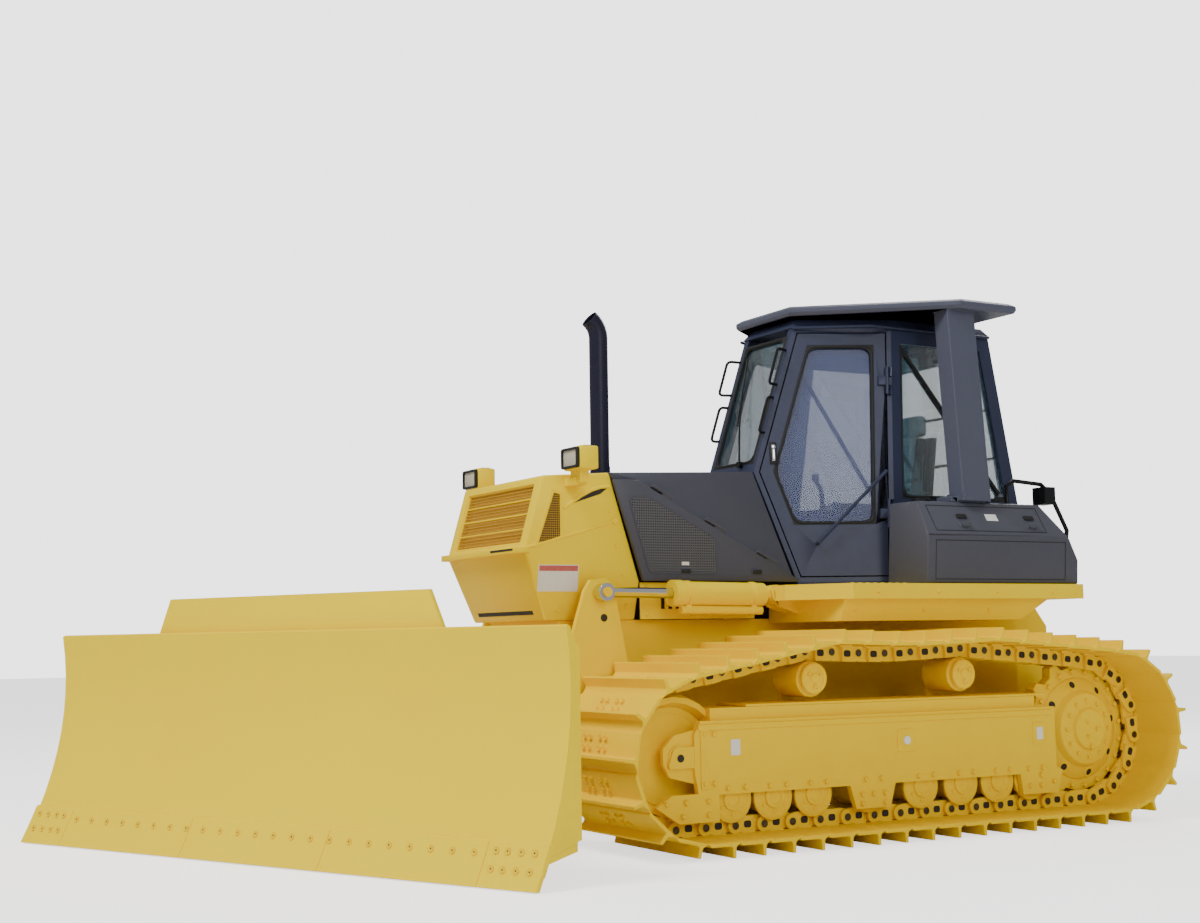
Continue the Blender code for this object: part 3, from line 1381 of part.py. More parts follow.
def cylinder_pieces(name, foot, eye, across, barrel_r, rod_r, barrel_l, rod_l):
    """Barrel and rod between two pins. The bore is open at its mouth and holds the rod's tail."""
    foot = Vector(foot)
    eye = Vector(eye)
    across = Vector(across) * (EYE_WIDTH / 2)
    along = (eye - foot).normalized()
    start = barrel_r + 0.018
    barrel = rod(name + "_barrel", foot + along * start, foot + along * barrel_l, barrel_r, 24)
    mouth = foot + along * (barrel_l - 0.04)
    fuse(barrel, rod(name + "_collar", mouth - along * 0.02, mouth + along * 0.042, barrel_r * 1.12, 24))
    fuse(barrel, rod(name + "_neck", foot, foot + along * (start + 0.01), EYE_WIDTH / 2 - 0.002, 12))
    fuse(barrel, rod(name + "_foot_eye", foot - across, foot + across, barrel_r * 0.85, 16))
    bore = foot + along * (start + 0.012)
    cut(barrel, rod(name + "_bore", bore, foot + along * (barrel_l + 0.1), rod_r + GAP * 2, 16))
    bar = rod(name + "_rod", eye - along * rod_l, eye, rod_r, 16)
    fuse(bar, rod(name + "_rod_eye", eye - across, eye + across, rod_r * 1.7, 16))
    paint(barrel, YELLOW, 0.4)
    paint(bar, STEEL, 0.15, 1.0)
    return barrel, bar


def lift_cylinder(side):
    name = side_name("lift", side)
    foot = (side * LIFT_X, *LIFT_FOOT)
    eye = (side * LIFT_X, *LIFT_EYE)
    barrel, bar = cylinder_pieces(name, foot, eye, (1, 0, 0), LIFT_BARREL_R, LIFT_ROD_R, LIFT_BARREL_L, LIFT_ROD_L)
    hole = (Vector((side * LIFT_X + x, *LIFT_FOOT)) for x in (-0.1, 0.1))
    cut(barrel, rod(name + "_pin_hole", *hole, PIN_R + GAP * 2, 16))
    return barrel, bar


def angle_lug(side):
    """Where the lug on the carrier stands with the blade angled."""
    x, y = side * ANGLE_LUG[0], ANGLE_LUG[1]
    turned_x = x * cos(BLADE_ANGLE) - y * sin(BLADE_ANGLE)
    turned_y = x * sin(BLADE_ANGLE) + y * cos(BLADE_ANGLE)
    return turned_x, BLADE_PIVOT_Y + turned_y, ANGLE_Z


def angle_cylinder(side):
    name = side_name("angle", side)
    foot = (side * ANGLE_FOOT[0], ANGLE_FOOT[1], ANGLE_Z)
    return cylinder_pieces(name, foot, angle_lug(side), (0, 0, 1), ANGLE_BARREL_R, ANGLE_ROD_R, ANGLE_BARREL_L, ANGLE_ROD_L)


def tilt_cylinder():
    y = BLADE_PIVOT_Y + TILT_Y
    foot = (TILT_FOOT_X, y, TILT_Z)
    eye = (TILT_EYE_X, y, TILT_Z)
    return cylinder_pieces("tilt", foot, eye, (0, 1, 0), TILT_BARREL_R, TILT_ROD_R, TILT_BARREL_L, TILT_ROD_L)


# ---------------------------------------------------------------- the whole machine

def blade_corner(x, y):
    """A corner of the blade in machine coordinates, with the blade angled."""
    return (
        x * cos(BLADE_ANGLE) - y * sin(BLADE_ANGLE),
        BLADE_PIVOT_Y + x * sin(BLADE_ANGLE) + y * cos(BLADE_ANGLE),
    )


def machine_offset():
    """Moves the machine so that the world origin lies under the middle of its box."""
    half = BLADE_WIDTH / 2
    reach = BLADE_REACH + EDGE_T * 0.6
    left = max(blade_corner(half, -reach)[0], TRACK_OUTER_X)
    right = min(blade_corner(-half, -BLADE_TOP_REACH + 0.1)[0], -TRACK_OUTER_X)
    front = blade_corner(-half, -reach)[1]
    rear = REAR_CASE_Y + DRAWBAR_L
    return (-(left + right) / 2, -(front + rear) / 2, 0)


def build():
    clear_scene()
    fixed = [main_frame(), engine(), nose(), grille(), radiator(), hood(), stack()]
    fixed += [cab_floor(), cab_frame(), cab_roof(), windshield(), rear_glass(), rops()]
    fixed += [seat(), seat_cushion(), seat_backrest(), dash()]
    machine = empty("machine", (0, 0, 0))
    for side in (1, -1):
        fixed += [track(side), track_frame(side), sprocket(side), deck(side), side_box(side)]
        fixed += [front_lamp(side), side_glass(side), rear_rail(side)]
        edge = crease_point(side, 0, CREASE_OFF)
        hinge = empty(side_name("engine_cover_hinge", side), edge, machine)
        ride(cover(side), hinge)
        hinge = empty(side_name("cab_door_hinge", side), door_hinge_point(side, 0), machine)
        ride(cab_door(side), hinge)
        ride(door_glass(side), hinge)
        barrel, bar = lift_cylinder(side)
        pivot = empty(side_name("lift_foot", side), (side * LIFT_X, *LIFT_FOOT), machine)
        ride(barrel, pivot)
        ride(bar, pivot)
    for obj in fixed:
        ride(obj, machine)
    lift_axis = empty("lift_axis", (0, *LIFT_AXIS), machine)
    ride(c_frame(), lift_axis)
    for side in (1, -1):
        barrel, bar = angle_cylinder(side)
        pivot = empty(side_name("angle_foot", side), (side * ANGLE_FOOT[0], ANGLE_FOOT[1], ANGLE_Z), lift_axis)
        ride(barrel, pivot)
        ride(bar, pivot)
    swing = empty("blade_swing", (0, BLADE_PIVOT_Y, BLADE_PIVOT_Z), lift_axis)
    ride(carrier(), swing)
    tilt = empty("blade_tilt", (0, BLADE_PIVOT_Y, BLADE_PIVOT_Z), swing)
    ride(blade(), tilt)
    barrel, bar = tilt_cylinder()
    place = (TILT_FOOT_X, BLADE_PIVOT_Y + TILT_Y, TILT_Z)
    pivot = empty("tilt_foot", place, swing)
    ride(barrel, pivot)
    ride(bar, pivot)
    swing.rotation_euler.z = BLADE_ANGLE
    machine.location = machine_offset()


build()
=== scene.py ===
"""Looks of a crawler bulldozer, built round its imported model.

Every operator makes one group of pieces. Shapes are laid out in the machine's own
coordinates: x = 0 on its centre line with its left side at +X, y = 0 half way along the
tracks with the front at -Y, and z = 0 on the ground. MACHINE moves them into the frame.
"""

import json
from math import acos, atan2, cos, hypot, pi, radians, sin

import bmesh
import bpy
from mathutils import Matrix, Vector
from mathutils.bvhtree import BVHTree

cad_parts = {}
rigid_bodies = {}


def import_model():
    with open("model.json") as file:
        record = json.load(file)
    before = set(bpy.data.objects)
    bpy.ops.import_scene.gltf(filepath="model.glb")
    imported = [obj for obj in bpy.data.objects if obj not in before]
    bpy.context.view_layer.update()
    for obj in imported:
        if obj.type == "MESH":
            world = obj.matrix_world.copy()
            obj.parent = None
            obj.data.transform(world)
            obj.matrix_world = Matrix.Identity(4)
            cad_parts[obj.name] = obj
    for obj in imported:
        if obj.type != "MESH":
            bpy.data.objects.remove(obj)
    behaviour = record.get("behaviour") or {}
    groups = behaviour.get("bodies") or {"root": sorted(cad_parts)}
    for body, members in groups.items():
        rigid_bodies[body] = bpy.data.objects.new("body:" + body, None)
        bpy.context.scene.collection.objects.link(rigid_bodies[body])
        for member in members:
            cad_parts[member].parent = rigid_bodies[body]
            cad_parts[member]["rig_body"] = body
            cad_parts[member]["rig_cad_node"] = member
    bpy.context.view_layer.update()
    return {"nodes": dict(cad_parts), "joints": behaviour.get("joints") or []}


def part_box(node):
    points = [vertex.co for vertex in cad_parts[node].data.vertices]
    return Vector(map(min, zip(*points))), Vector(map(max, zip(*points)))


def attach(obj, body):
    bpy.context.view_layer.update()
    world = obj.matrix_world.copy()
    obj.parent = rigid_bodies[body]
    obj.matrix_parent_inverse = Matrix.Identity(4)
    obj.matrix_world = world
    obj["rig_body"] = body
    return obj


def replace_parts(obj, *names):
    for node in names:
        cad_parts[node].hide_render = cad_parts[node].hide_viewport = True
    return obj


bl_info = {
    "name": "Crawler bulldozer",
    "version": (1, 0, 0),
    "blender": (4, 5, 0),
    "location": "View3D > Sidebar > Bulldozer",
    "description": "Builds the bulldozer's finished pieces round its packed frame",
    "category": "Object",
}

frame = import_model()
NODES = frame["nodes"]
JOINTS = {joint["name"]: joint for joint in frame["joints"]}
SIDES = (("left", 1), ("right", -1))

# ---------------------------------------------------------------- places and sizes, in metres

LIFT_AXIS = (-0.05, 0.60)               # y, z of the C-frame's trunnions
BLADE_PIVOT = (-2.98, 0.52)             # y, z
BLADE_ANGLE = radians(24.0)
TRACK_X = 1.07
FRAME_FACE_X = 1.245                    # outer face of the track frame's side plate
PIN_Z = 0.122
IDLER = (-1.50, 0.38)                   # y, pin-line radius
SPROCKET = (1.47, 0.42)
CARRIERS = (-0.61, 0.47)
CARRIER_PIN_Z = 1.05
CARRIER_Z = 0.898
TOP_SAG = 0.022
SHOE_COUNT = 45
SHOE_HALF_W = 0.43
RAIL_X = 0.080
ROLLER_Y = (-1.16, -0.89, -0.62, -0.24, 0.14, 0.44, 0.72, 0.98)
ROLLER_Z = 0.2673
NOSE_TOP = (-1.93, 2.05)
NOSE_LIP = (-2.05, 1.63)
NOSE_WINDOW = ((-1.965, 1.665), (-1.825, 1.710), (-1.825, 1.945), (-1.862, 1.955))
NOSE_SIDE_X = 0.521
BLADE_WIDTH = 3.86
BLADE_HEIGHT = 1.19
BLADE_FLOOR = 0.004
BLADE_REACH = 0.600
BLADE_TOP_REACH = 0.360
BLADE_HOLLOW = 0.115
DOOR_CORNERS = (
    (0.71, 0.400, 1.46), (0.45, -0.148, 1.46), (0.26, -0.320, 2.15), (0.27, 0.000, 3.08), (0.54, 0.570, 3.08),
)

FIXED_PANES = ("windshield", "rear_glass", "side_glass_left", "side_glass_right")
SEAL_WIDTH = 0.020
DOOR_STRIP = (0.024, 0.060)             # how far in from the door's edge the weather strip lies
PAD_START = (0.965, 0.965, 0.94)        # a seat pad's size before it is filled, as shares of its room
PAD_VOXEL = 0.006
PAD_STEPS = 14
PAD_SLACK = (0.006, 0.012)              # how far its cover may pass its room, downwards and upwards
LENS_LENGTH = 50.6                      # mm, on a sensor 36 mm wide
EYE = (8.875, -6.254, 1.120)
EYE_TURN = (60.67, 6.08, -0.84)         # degrees round, up and rolled
BACKDROP_GLOW = 3.0
FLOOR_GLOW = 1.5
STUDIO_LAMPS = (                        # name, place, size in m, power in W
    ("key", (1.0, -9.0, 13.5), 5.0, 1650), ("fill", (13.0, -1.0, 6.5), 7.0, 520),
    ("rim", (-6.0, 9.0, 9.0), 6.0, 500),
)

lift_place = Vector(JOINTS["blade_lift"]["pos_m"])
MACHINE = Matrix.Translation((lift_place.x, lift_place.y - LIFT_AXIS[0], 0))
BLADE = (
    MACHINE
    @ Matrix.Translation((0, BLADE_PIVOT[0], 0))
    @ Matrix.Rotation(BLADE_ANGLE, 4, "Z")
)


# ---------------------------------------------------------------- colours and materials

MIX_FACTOR, MIX_FIRST, MIX_SECOND, MIX_COLOUR = 0, 6, 7, 2     # sockets of a Mix node for colours


def linear(code):
    """An sRGB hex colour as linear RGBA."""
    values = [int(code[i:i + 2], 16) / 255 for i in (1, 3, 5)]
    return (*(v / 12.92 if v <= 0.04045 else ((v + 0.055) / 1.055) ** 2.4 for v in values), 1.0)


def add_node(tree, kind, inputs=None, output=None, target=None, **settings):
    """Adds a node, sets it, sets or links its inputs, and links one output to a target socket."""
    made = tree.nodes.new(kind)
    for name, value in settings.items():
        setattr(made, name, value)
    for name, value in (inputs or {}).items():
        if isinstance(value, bpy.types.NodeSocket):
            tree.links.new(value, made.inputs[name])
        else:
            made.inputs[name].default_value = value
    if target:
        tree.links.new(made.outputs[output], target)
    return made if output is None else made.outputs[output]


def new_material(name):
    """A material, its nodes, its shader's inputs, and the coordinates that its patterns lie on."""
    made = bpy.data.materials.new(name)
    made.use_nodes = True
    tree = made.node_tree
    place = add_node(tree, "ShaderNodeTexCoord", output="Object")
    return made, tree, tree.nodes["Principled BSDF"].inputs, place


def enamel(name, colour, drift, rough, dust=0.0, sheen=0.18):
    """Sprayed two-coat machine enamel: a satin gloss with faint orange peel and dust low down."""
    made, tree, shader, place = new_material(name)
    # The colour drifts slowly over panels of about 0.7 m.
    slow = add_node(tree, "ShaderNodeTexNoise", {"Vector": place, "Scale": 1.4, "Detail": 3.0}, "Fac")
    part = add_node(tree, "ShaderNodeMapRange", {"Value": slow, "To Min": 0.1, "To Max": 0.9}, "Result")
    full = (*colour, 1.0)
    dull = (*(value * share for value, share in zip(colour, drift)), 1.0)
    tint = add_node(
        tree, "ShaderNodeMix", {MIX_FACTOR: part, MIX_FIRST: dull, MIX_SECOND: full}, MIX_COLOUR,
        shader["Base Color"], data_type="RGBA",
    )
    if dust:
        height = add_node(tree, "ShaderNodeSeparateXYZ", {"Vector": place}, "Z")
        low = add_node(
            tree, "ShaderNodeMapRange",
            {"Value": height, "From Min": 0.05, "From Max": 0.85, "To Min": dust, "To Max": 0.0}, "Result",
        )
        patches = add_node(tree, "ShaderNodeTexNoise", {"Vector": place, "Scale": 9.0, "Detail": 6.0}, "Fac")
        amount = add_node(tree, "ShaderNodeMath", {0: low, 1: patches}, 0, operation="MULTIPLY")
        add_node(
            tree, "ShaderNodeMix", {MIX_FACTOR: amount, MIX_FIRST: tint, MIX_SECOND: linear("#8a6420")},
            MIX_COLOUR, shader["Base Color"], data_type="RGBA",
        )
    smears = add_node(tree, "ShaderNodeTexNoise", {"Vector": place, "Scale": 18.0, "Detail": 5.0}, "Fac")
    add_node(
        tree, "ShaderNodeMapRange", {"Value": smears, "To Min": rough - 0.07, "To Max": rough + 0.09},
        "Result", shader["Roughness"],
    )
    # Orange peel is about 3 mm across.
    peel = add_node(tree, "ShaderNodeTexNoise", {"Vector": place, "Scale": 330.0, "Detail": 2.0}, "Fac")
    add_node(
        tree, "ShaderNodeBump", {"Height": peel, "Strength": 0.05, "Distance": 0.001}, "Normal",
        shader["Normal"],
    )
    shader["Specular IOR Level"].default_value = sheen
    shader["Coat Weight"].default_value = 0.03
    shader["Coat Roughness"].default_value = 0.12
    return made


def hard_chrome(name):
    """Ground and plated piston rod: bright, with fine rings from grinding."""
    made, tree, shader, place = new_material(name)
    shader["Base Color"].default_value = linear("#d8d9da")
    shader["Metallic"].default_value = 1.0
    rings = add_node(tree, "ShaderNodeTexNoise", {"Vector": place, "Scale": 160.0, "Detail": 3.0}, "Fac")
    add_node(
        tree, "ShaderNodeMapRange", {"Value": rings, "To Min": 0.08, "To Max": 0.20}, "Result",
        shader["Roughness"],
    )
    return made


def rubbed_steel(name, colour, rough):
    """Machined steel rubbed bright, with darker smears of oil."""
    made, tree, shader, place = new_material(name)
    shader["Metallic"].default_value = 0.85
    smears = add_node(tree, "ShaderNodeTexNoise", {"Vector": place, "Scale": 24.0, "Detail": 6.0}, "Fac")
    add_node(
        tree, "ShaderNodeMix", {MIX_FACTOR: smears, MIX_FIRST: linear("#2b2822"), MIX_SECOND: linear(colour)},
        MIX_COLOUR, shader["Base Color"], data_type="RGBA",
    )
    add_node(
        tree, "ShaderNodeMapRange", {"Value": smears, "To Min": rough + 0.15, "To Max": rough - 0.1},
        "Result", shader["Roughness"],
    )
    return made


def sand_casting(name, colour):
    """Sand-cast iron under primer: dull, with a grain of about 2 mm."""
    made, tree, shader, place = new_material(name)
    shader["Roughness"].default_value = 0.7
    stain = add_node(tree, "ShaderNodeTexNoise", {"Vector": place, "Scale": 7.0, "Detail": 4.0}, "Fac")
    add_node(
        tree, "ShaderNodeMix", {MIX_FACTOR: stain, MIX_FIRST: linear("#1c1b19"), MIX_SECOND: linear(colour)},
        MIX_COLOUR, shader["Base Color"], data_type="RGBA",
    )
    grain = add_node(tree, "ShaderNodeTexNoise", {"Vector": place, "Scale": 500.0, "Detail": 3.0}, "Fac")
    add_node(
        tree, "ShaderNodeBump", {"Height": grain, "Strength": 0.35, "Distance": 0.002}, "Normal",
        shader["Normal"],
    )
    return made


def moulded_plastic(name, colour, rough):
    """Injection-moulded ABS with a leather-like grain of about 1.5 mm."""
    made, tree, shader, place = new_material(name)
    shader["Roughness"].default_value = rough
    patches = add_node(tree, "ShaderNodeTexNoise", {"Vector": place, "Scale": 5.0, "Detail": 3.0}, "Fac")
    worn = add_node(tree, "ShaderNodeMapRange", {"Value": patches, "To Min": 0.0, "To Max": 0.5}, "Result")
    add_node(
        tree, "ShaderNodeMix", {MIX_FACTOR: worn, MIX_FIRST: linear(colour), MIX_SECOND: linear("#3a3a3d")},
        MIX_COLOUR, shader["Base Color"], data_type="RGBA",
    )
    grain = add_node(tree, "ShaderNodeTexVoronoi", {"Vector": place, "Scale": 650.0}, "Distance")
    add_node(
        tree, "ShaderNodeBump", {"Height": grain, "Strength": 0.25, "Distance": 0.0008}, "Normal",
        shader["Normal"],
    )
    return made


def window_rubber(name):
    """Extruded EPDM window seal: black and slightly chalky."""
    made, tree, shader, place = new_material(name)
    chalk = add_node(tree, "ShaderNodeTexNoise", {"Vector": place, "Scale": 30.0, "Detail": 4.0}, "Fac")
    pale = add_node(tree, "ShaderNodeMapRange", {"Value": chalk, "To Min": 0.0, "To Max": 0.4}, "Result")
    add_node(
        tree, "ShaderNodeMix",
        {MIX_FACTOR: pale, MIX_FIRST: linear("#0d0d0e"), MIX_SECOND: linear("#2c2c2e")},
        MIX_COLOUR, shader["Base Color"], data_type="RGBA",
    )
    add_node(
        tree, "ShaderNodeMapRange", {"Value": chalk, "To Min": 0.55, "To Max": 0.75}, "Result",
        shader["Roughness"],
    )
    return made


def toughened_glass(name, deep, pale, cover, clear):
    """Blue-tinted toughened glass with a trace of dust. Cover and clear set how much shows through."""
    made, tree, shader, place = new_material(name)
    film = add_node(tree, "ShaderNodeTexNoise", {"Vector": place, "Scale": 3.0, "Detail": 5.0}, "Fac")
    add_node(
        tree, "ShaderNodeMix", {MIX_FACTOR: film, MIX_FIRST: linear(deep), MIX_SECOND: linear(pale)},
        MIX_COLOUR, shader["Base Color"], data_type="RGBA",
    )
    add_node(
        tree, "ShaderNodeMapRange", {"Value": film, "To Min": 0.0, "To Max": 0.03}, "Result",
        shader["Roughness"],
    )
    shader["Transmission Weight"].default_value = clear
    shader["IOR"].default_value = 1.45
    shader["Specular IOR Level"].default_value = 0.3
    shader["Alpha"].default_value = cover
    return made


def lamp_lens(name):
    """Pressed polycarbonate lens whose ribs, 12 mm apart, spread the beam."""
    made, tree, shader, place = new_material(name)
    shader["Base Color"].default_value = linear("#f3efdc")
    shader["Roughness"].default_value = 0.12
    shader["Transmission Weight"].default_value = 0.35
    ribs = add_node(tree, "ShaderNodeTexWave", {"Vector": place, "Scale": 26.0}, "Fac", bands_direction="X")
    add_node(
        tree, "ShaderNodeBump", {"Height": ribs, "Strength": 0.6, "Distance": 0.002}, "Normal",
        shader["Normal"],
    )
    return made


def punched_sheet(name):
    """Painted steel punched with 5 mm holes 9 mm apart, drawn as 8 mm holes 15 mm apart to show."""
    made, tree, shader, place = new_material(name)
    split = add_node(tree, "ShaderNodeSeparateXYZ", {"Vector": place}).outputs
    flat = add_node(tree, "ShaderNodeCombineXYZ", {"X": split["Y"], "Y": split["Z"]}, "Vector")
    holes = add_node(
        tree, "ShaderNodeTexVoronoi", {"Vector": flat, "Scale": 66.0, "Randomness": 0.0}, "Distance",
        voronoi_dimensions="2D",
    )
    sheet = add_node(
        tree, "ShaderNodeMapRange", {"Value": holes, "From Min": 0.24, "From Max": 0.32}, "Result"
    )
    # The holes are painted near-black: painted shade in them.
    add_node(
        tree, "ShaderNodeMix",
        {MIX_FACTOR: sheet, MIX_FIRST: linear("#0c0c0d"), MIX_SECOND: linear("#55565c")},
        MIX_COLOUR, shader["Base Color"], data_type="RGBA",
    )
    add_node(
        tree, "ShaderNodeMapRange", {"Value": sheet, "To Min": 0.8, "To Max": 0.42}, "Result",
        shader["Roughness"],
    )
    add_node(
        tree, "ShaderNodeBump", {"Height": sheet, "Strength": 0.7, "Distance": 0.002}, "Normal",
        shader["Normal"],
    )
    return made


def seat_cloth(name):
    """Woven upholstery: threads 1.6 mm apart, drawn as 3 mm so that they show."""
    made, tree, shader, place = new_material(name)
    shader["Roughness"].default_value = 0.92
    shader["Sheen Weight"].default_value = 0.4
    warp, weft = (
        add_node(tree, "ShaderNodeTexWave", {"Vector": place, "Scale": 105.0}, "Fac", bands_direction=way)
        for way in "XY"
    )
    threads = add_node(tree, "ShaderNodeMath", {0: warp, 1: weft}, 0, operation="MAXIMUM")
    add_node(
        tree, "ShaderNodeMix",
        {MIX_FACTOR: threads, MIX_FIRST: linear("#141416"), MIX_SECOND: linear("#34353a")},
        MIX_COLOUR, shader["Base Color"], data_type="RGBA",
    )
    add_node(
        tree, "ShaderNodeBump", {"Height": threads, "Strength": 0.4, "Distance": 0.001}, "Normal",
        shader["Normal"],
    )
    return made


def vinyl_label(name, colour):
    """Printed vinyl label, blank, with a semi-gloss film."""
    made, tree, shader, place = new_material(name)
    shader["Roughness"].default_value = 0.35
    fade = add_node(tree, "ShaderNodeTexNoise", {"Vector": place, "Scale": 40.0, "Detail": 3.0}, "Fac")
    worn = add_node(tree, "ShaderNodeMapRange", {"Value": fade, "To Min": 0.0, "To Max": 0.3}, "Result")
    add_node(
        tree, "ShaderNodeMix", {MIX_FACTOR: worn, MIX_FIRST: linear(colour), MIX_SECOND: linear("#b9b6ae")},
        MIX_COLOUR, shader["Base Color"], data_type="RGBA",
    )
    return made


def studio_sheet(name):
    """Matt white studio paper with a very faint mottling."""
    made, tree, shader, place = new_material(name)
    shader["Roughness"].default_value = 0.85
    mottle = add_node(tree, "ShaderNodeTexNoise", {"Vector": place, "Scale": 0.6, "Detail": 3.0}, "Fac")
    add_node(
        tree, "ShaderNodeMix",
        {MIX_FACTOR: mottle, MIX_FIRST: linear("#f4f4f2"), MIX_SECOND: linear("#fbfbfa")},
        MIX_COLOUR, shader["Base Color"], data_type="RGBA",
    )
    # It shows as white as the studio round it, and lights the machine no more for that.
    seen = add_node(tree, "ShaderNodeLightPath", output="Is Camera Ray")
    shader["Emission Color"].default_value = linear("#ffffff")
    add_node(
        tree, "ShaderNodeMapRange", {"Value": seen, "To Min": 0.0, "To Max": FLOOR_GLOW}, "Result",
        shader["Emission Strength"],
    )
    return made


PAINT = {}


def mix_paints(sizes):
    """Makes every material in the chosen colours, and keeps it by the name of its finish."""
    PAINT.update({
        "yellow": enamel("machine_yellow_enamel", sizes.body_yellow, (1.0, 0.91, 1.0), 0.42, sheen=0.07),
        "low_yellow": enamel(
            "undercarriage_yellow_enamel", sizes.track_yellow, (0.965, 0.89, 1.0), 0.48, 0.20, 0.07
        ),
        "grey": enamel("hood_grey_enamel", sizes.hood_grey, (0.81, 0.81, 0.81), 0.38),
        "navy": enamel("cab_blue_grey_enamel", sizes.cab_blue_grey, (0.80, 0.81, 0.81), 0.34),
        "canopy": enamel("canopy_grey_enamel", sizes.canopy_grey, (0.82, 0.82, 0.83), 0.40),
        "black": enamel("black_enamel", linear("#1a1a1c")[:3], (0.73, 0.73, 0.75), 0.42),
        "pipe": enamel("exhaust_black_enamel", linear("#232338")[:3], (0.73, 0.73, 0.64), 0.38),
        "wire": enamel("woven_wire_enamel", linear("#e2b23c")[:3], (0.71, 0.665, 0.56), 0.50),
        # dark: the radiator core, and painted shade put in holes, sockets, slots and openings
        "dark": sand_casting("radiator_and_painted_hole_shade", "#2a2620"),
        "casting": sand_casting("engine_grey_cast_iron", "#55544f"),
        "chrome": hard_chrome("piston_rod_hard_chrome"),
        "steel": rubbed_steel("pin_end_rubbed_steel", "#6d6454", 0.42),
        "plastic": moulded_plastic("cab_trim_moulded_abs", "#161618", 0.55),
        "rubber": window_rubber("window_seal_epdm_rubber"),
        "glass": toughened_glass("cab_toughened_glass", "#6fa6bd", "#93c6d6", 0.44, 0.95),
        # The door panes get a dark navy colour, less clearness and more cover: painted shade of the cab's
        # inside seen through them.
        "deep_glass": toughened_glass("door_glass_painted_interior_shade", "#26356c", "#3a4e8c", 0.62, 0.40),
        "lens": lamp_lens("lamp_lens_polycarbonate"),
        "holes": punched_sheet("side_cover_perforated_sheet"),
        "cloth": seat_cloth("seat_woven_cloth"),
        "white": vinyl_label("blank_white_label", "#f1efe8"),
        "red": vinyl_label("red_label_band", "#c23a2c"),
        "floor": studio_sheet("studio_white_sheet"),
    })


def paint(name):
    """The finish's material. All of them are made the first time that one is asked for."""
    if not PAINT:
        mix_paints(bpy.context.scene.bulldozer)
    return PAINT[name]


# ---------------------------------------------------------------- shapes

def closed(part):
    bmesh.ops.remove_doubles(part, verts=part.verts, dist=0.00001)
    bmesh.ops.recalc_face_normals(part, faces=part.faces)
    return part


def eased(part, width, segments=2):
    """The part with its sharp edges rounded."""
    if width:
        sharp = [e for e in part.edges if len(e.link_faces) == 2 and e.calc_face_angle(0.0) > radians(35)]
        bmesh.ops.bevel(
            part, geom=sharp, offset=width, segments=segments, profile=0.5, affect="EDGES",
            material=-1, clamp_overlap=True,
        )
    return closed(part)


def block(one, other, round_by=0.0):
    low = Vector([min(a, b) for a, b in zip(one, other)])
    high = Vector([max(a, b) for a, b in zip(one, other)])
    part = bmesh.new()
    bmesh.ops.create_cube(part, size=1.0)
    bmesh.ops.scale(part, vec=high - low, verts=part.verts)
    bmesh.ops.translate(part, vec=(low + high) / 2, verts=part.verts)
    return eased(part, round_by)


def drum(start, end, radius, sides=24, round_by=0.0, tip=None):
    """A round bar, or a cone when its tip has another radius."""
    start, end = Vector(start), Vector(end)
    along = end - start
    part = bmesh.new()
    bmesh.ops.create_cone(
        part, cap_ends=True, segments=sides, radius1=radius,
        radius2=radius if tip is None else tip, depth=along.length,
    )
    turn = along.to_track_quat("Z", "Y").to_matrix().to_4x4()
    part.transform(Matrix.Translation((start + end) / 2) @ turn)
    return eased(part, round_by)


def plate(outline, axis, low, high, round_by=0.0):
    """A flat outline, extruded along an axis. It is given in the two other axes, in their order."""
    place = {
        "X": lambda u, v: (low, u, v), "Y": lambda u, v: (u, low, v), "Z": lambda u, v: (u, v, low),
    }[axis]
    part = bmesh.new()
    face = part.faces.new([part.verts.new(place(u, v)) for u, v in outline])
    made = bmesh.ops.extrude_face_region(part, geom=[face])["geom"]
    shift = Vector(["XYZ".index(axis) == i for i in range(3)]) * (high - low)
    bmesh.ops.translate(part, vec=shift, verts=[v for v in made if isinstance(v, bmesh.types.BMVert)])
    return eased(part, round_by)


def lathe(profile, centre, axis="X", steps=32):
    """A profile of (radius, along) turned about an axis through the centre."""
    part = bmesh.new()
    verts = [part.verts.new((r, 0, a)) for r, a in profile]
    edges = [part.edges.new(pair) for pair in zip(verts, verts[1:])]
    bmesh.ops.spin(
        part, geom=verts + edges, cent=(0, 0, 0), axis=(0, 0, 1), angle=2 * pi, steps=steps,
        use_merge=True, use_duplicate=False,
    )
    turn = {
        "X": Matrix.Rotation(pi / 2, 4, "Y"), "Y": Matrix.Rotation(-pi / 2, 4, "X"), "Z": Matrix(),
    }[axis]
    part.transform(Matrix.Translation(centre) @ turn)
    return closed(part)


def tube(points, radius, closed_loop=False, sides=3):
    """A round bar bent through the points."""
    curve = bpy.data.curves.new("tube", "CURVE")
    curve.dimensions = "3D"
    curve.bevel_depth = radius
    curve.bevel_resolution = sides
    curve.use_fill_caps = True
    spline = curve.splines.new("POLY")
    spline.points.add(len(points) - 1)
    for point, place in zip(spline.points, points):
        point.co = (*place, 1)
    spline.use_cyclic_u = closed_loop
    holder = bpy.data.objects.new("tube", curve)
    part = bmesh.new()
    part.from_mesh(holder.to_mesh())
    holder.to_mesh_clear()
    bpy.data.objects.remove(holder)
    bpy.data.curves.remove(curve)
    return closed(part)


def put(work, part, *places):
    """Adds the part to the work once at every place, or once as it is."""
    mesh = bpy.data.meshes.new("part")
    part.to_mesh(mesh)
    part.free()
    for placed in places or (Matrix(),):
        copy = mesh.copy()
        copy.transform(placed)
        work.from_mesh(copy)
        bpy.data.meshes.remove(copy)
    bpy.data.meshes.remove(mesh)


def gather(*parts):
    work = bmesh.new()
    for part in parts:
        put(work, part)
    return work


def gather_at(part, places):
    work = bmesh.new()
    put(work, part, *places)
    return work


def bolt(radius=0.014):
    """Hexagon head on its washer, standing on z = 0."""
    return gather(
        drum((0, 0, -0.004), (0, 0, radius * 0.28), radius * 1.45, 14),
        drum((0, 0, 0), (0, 0, radius * 0.95), radius, 6, radius * 0.12),
    )


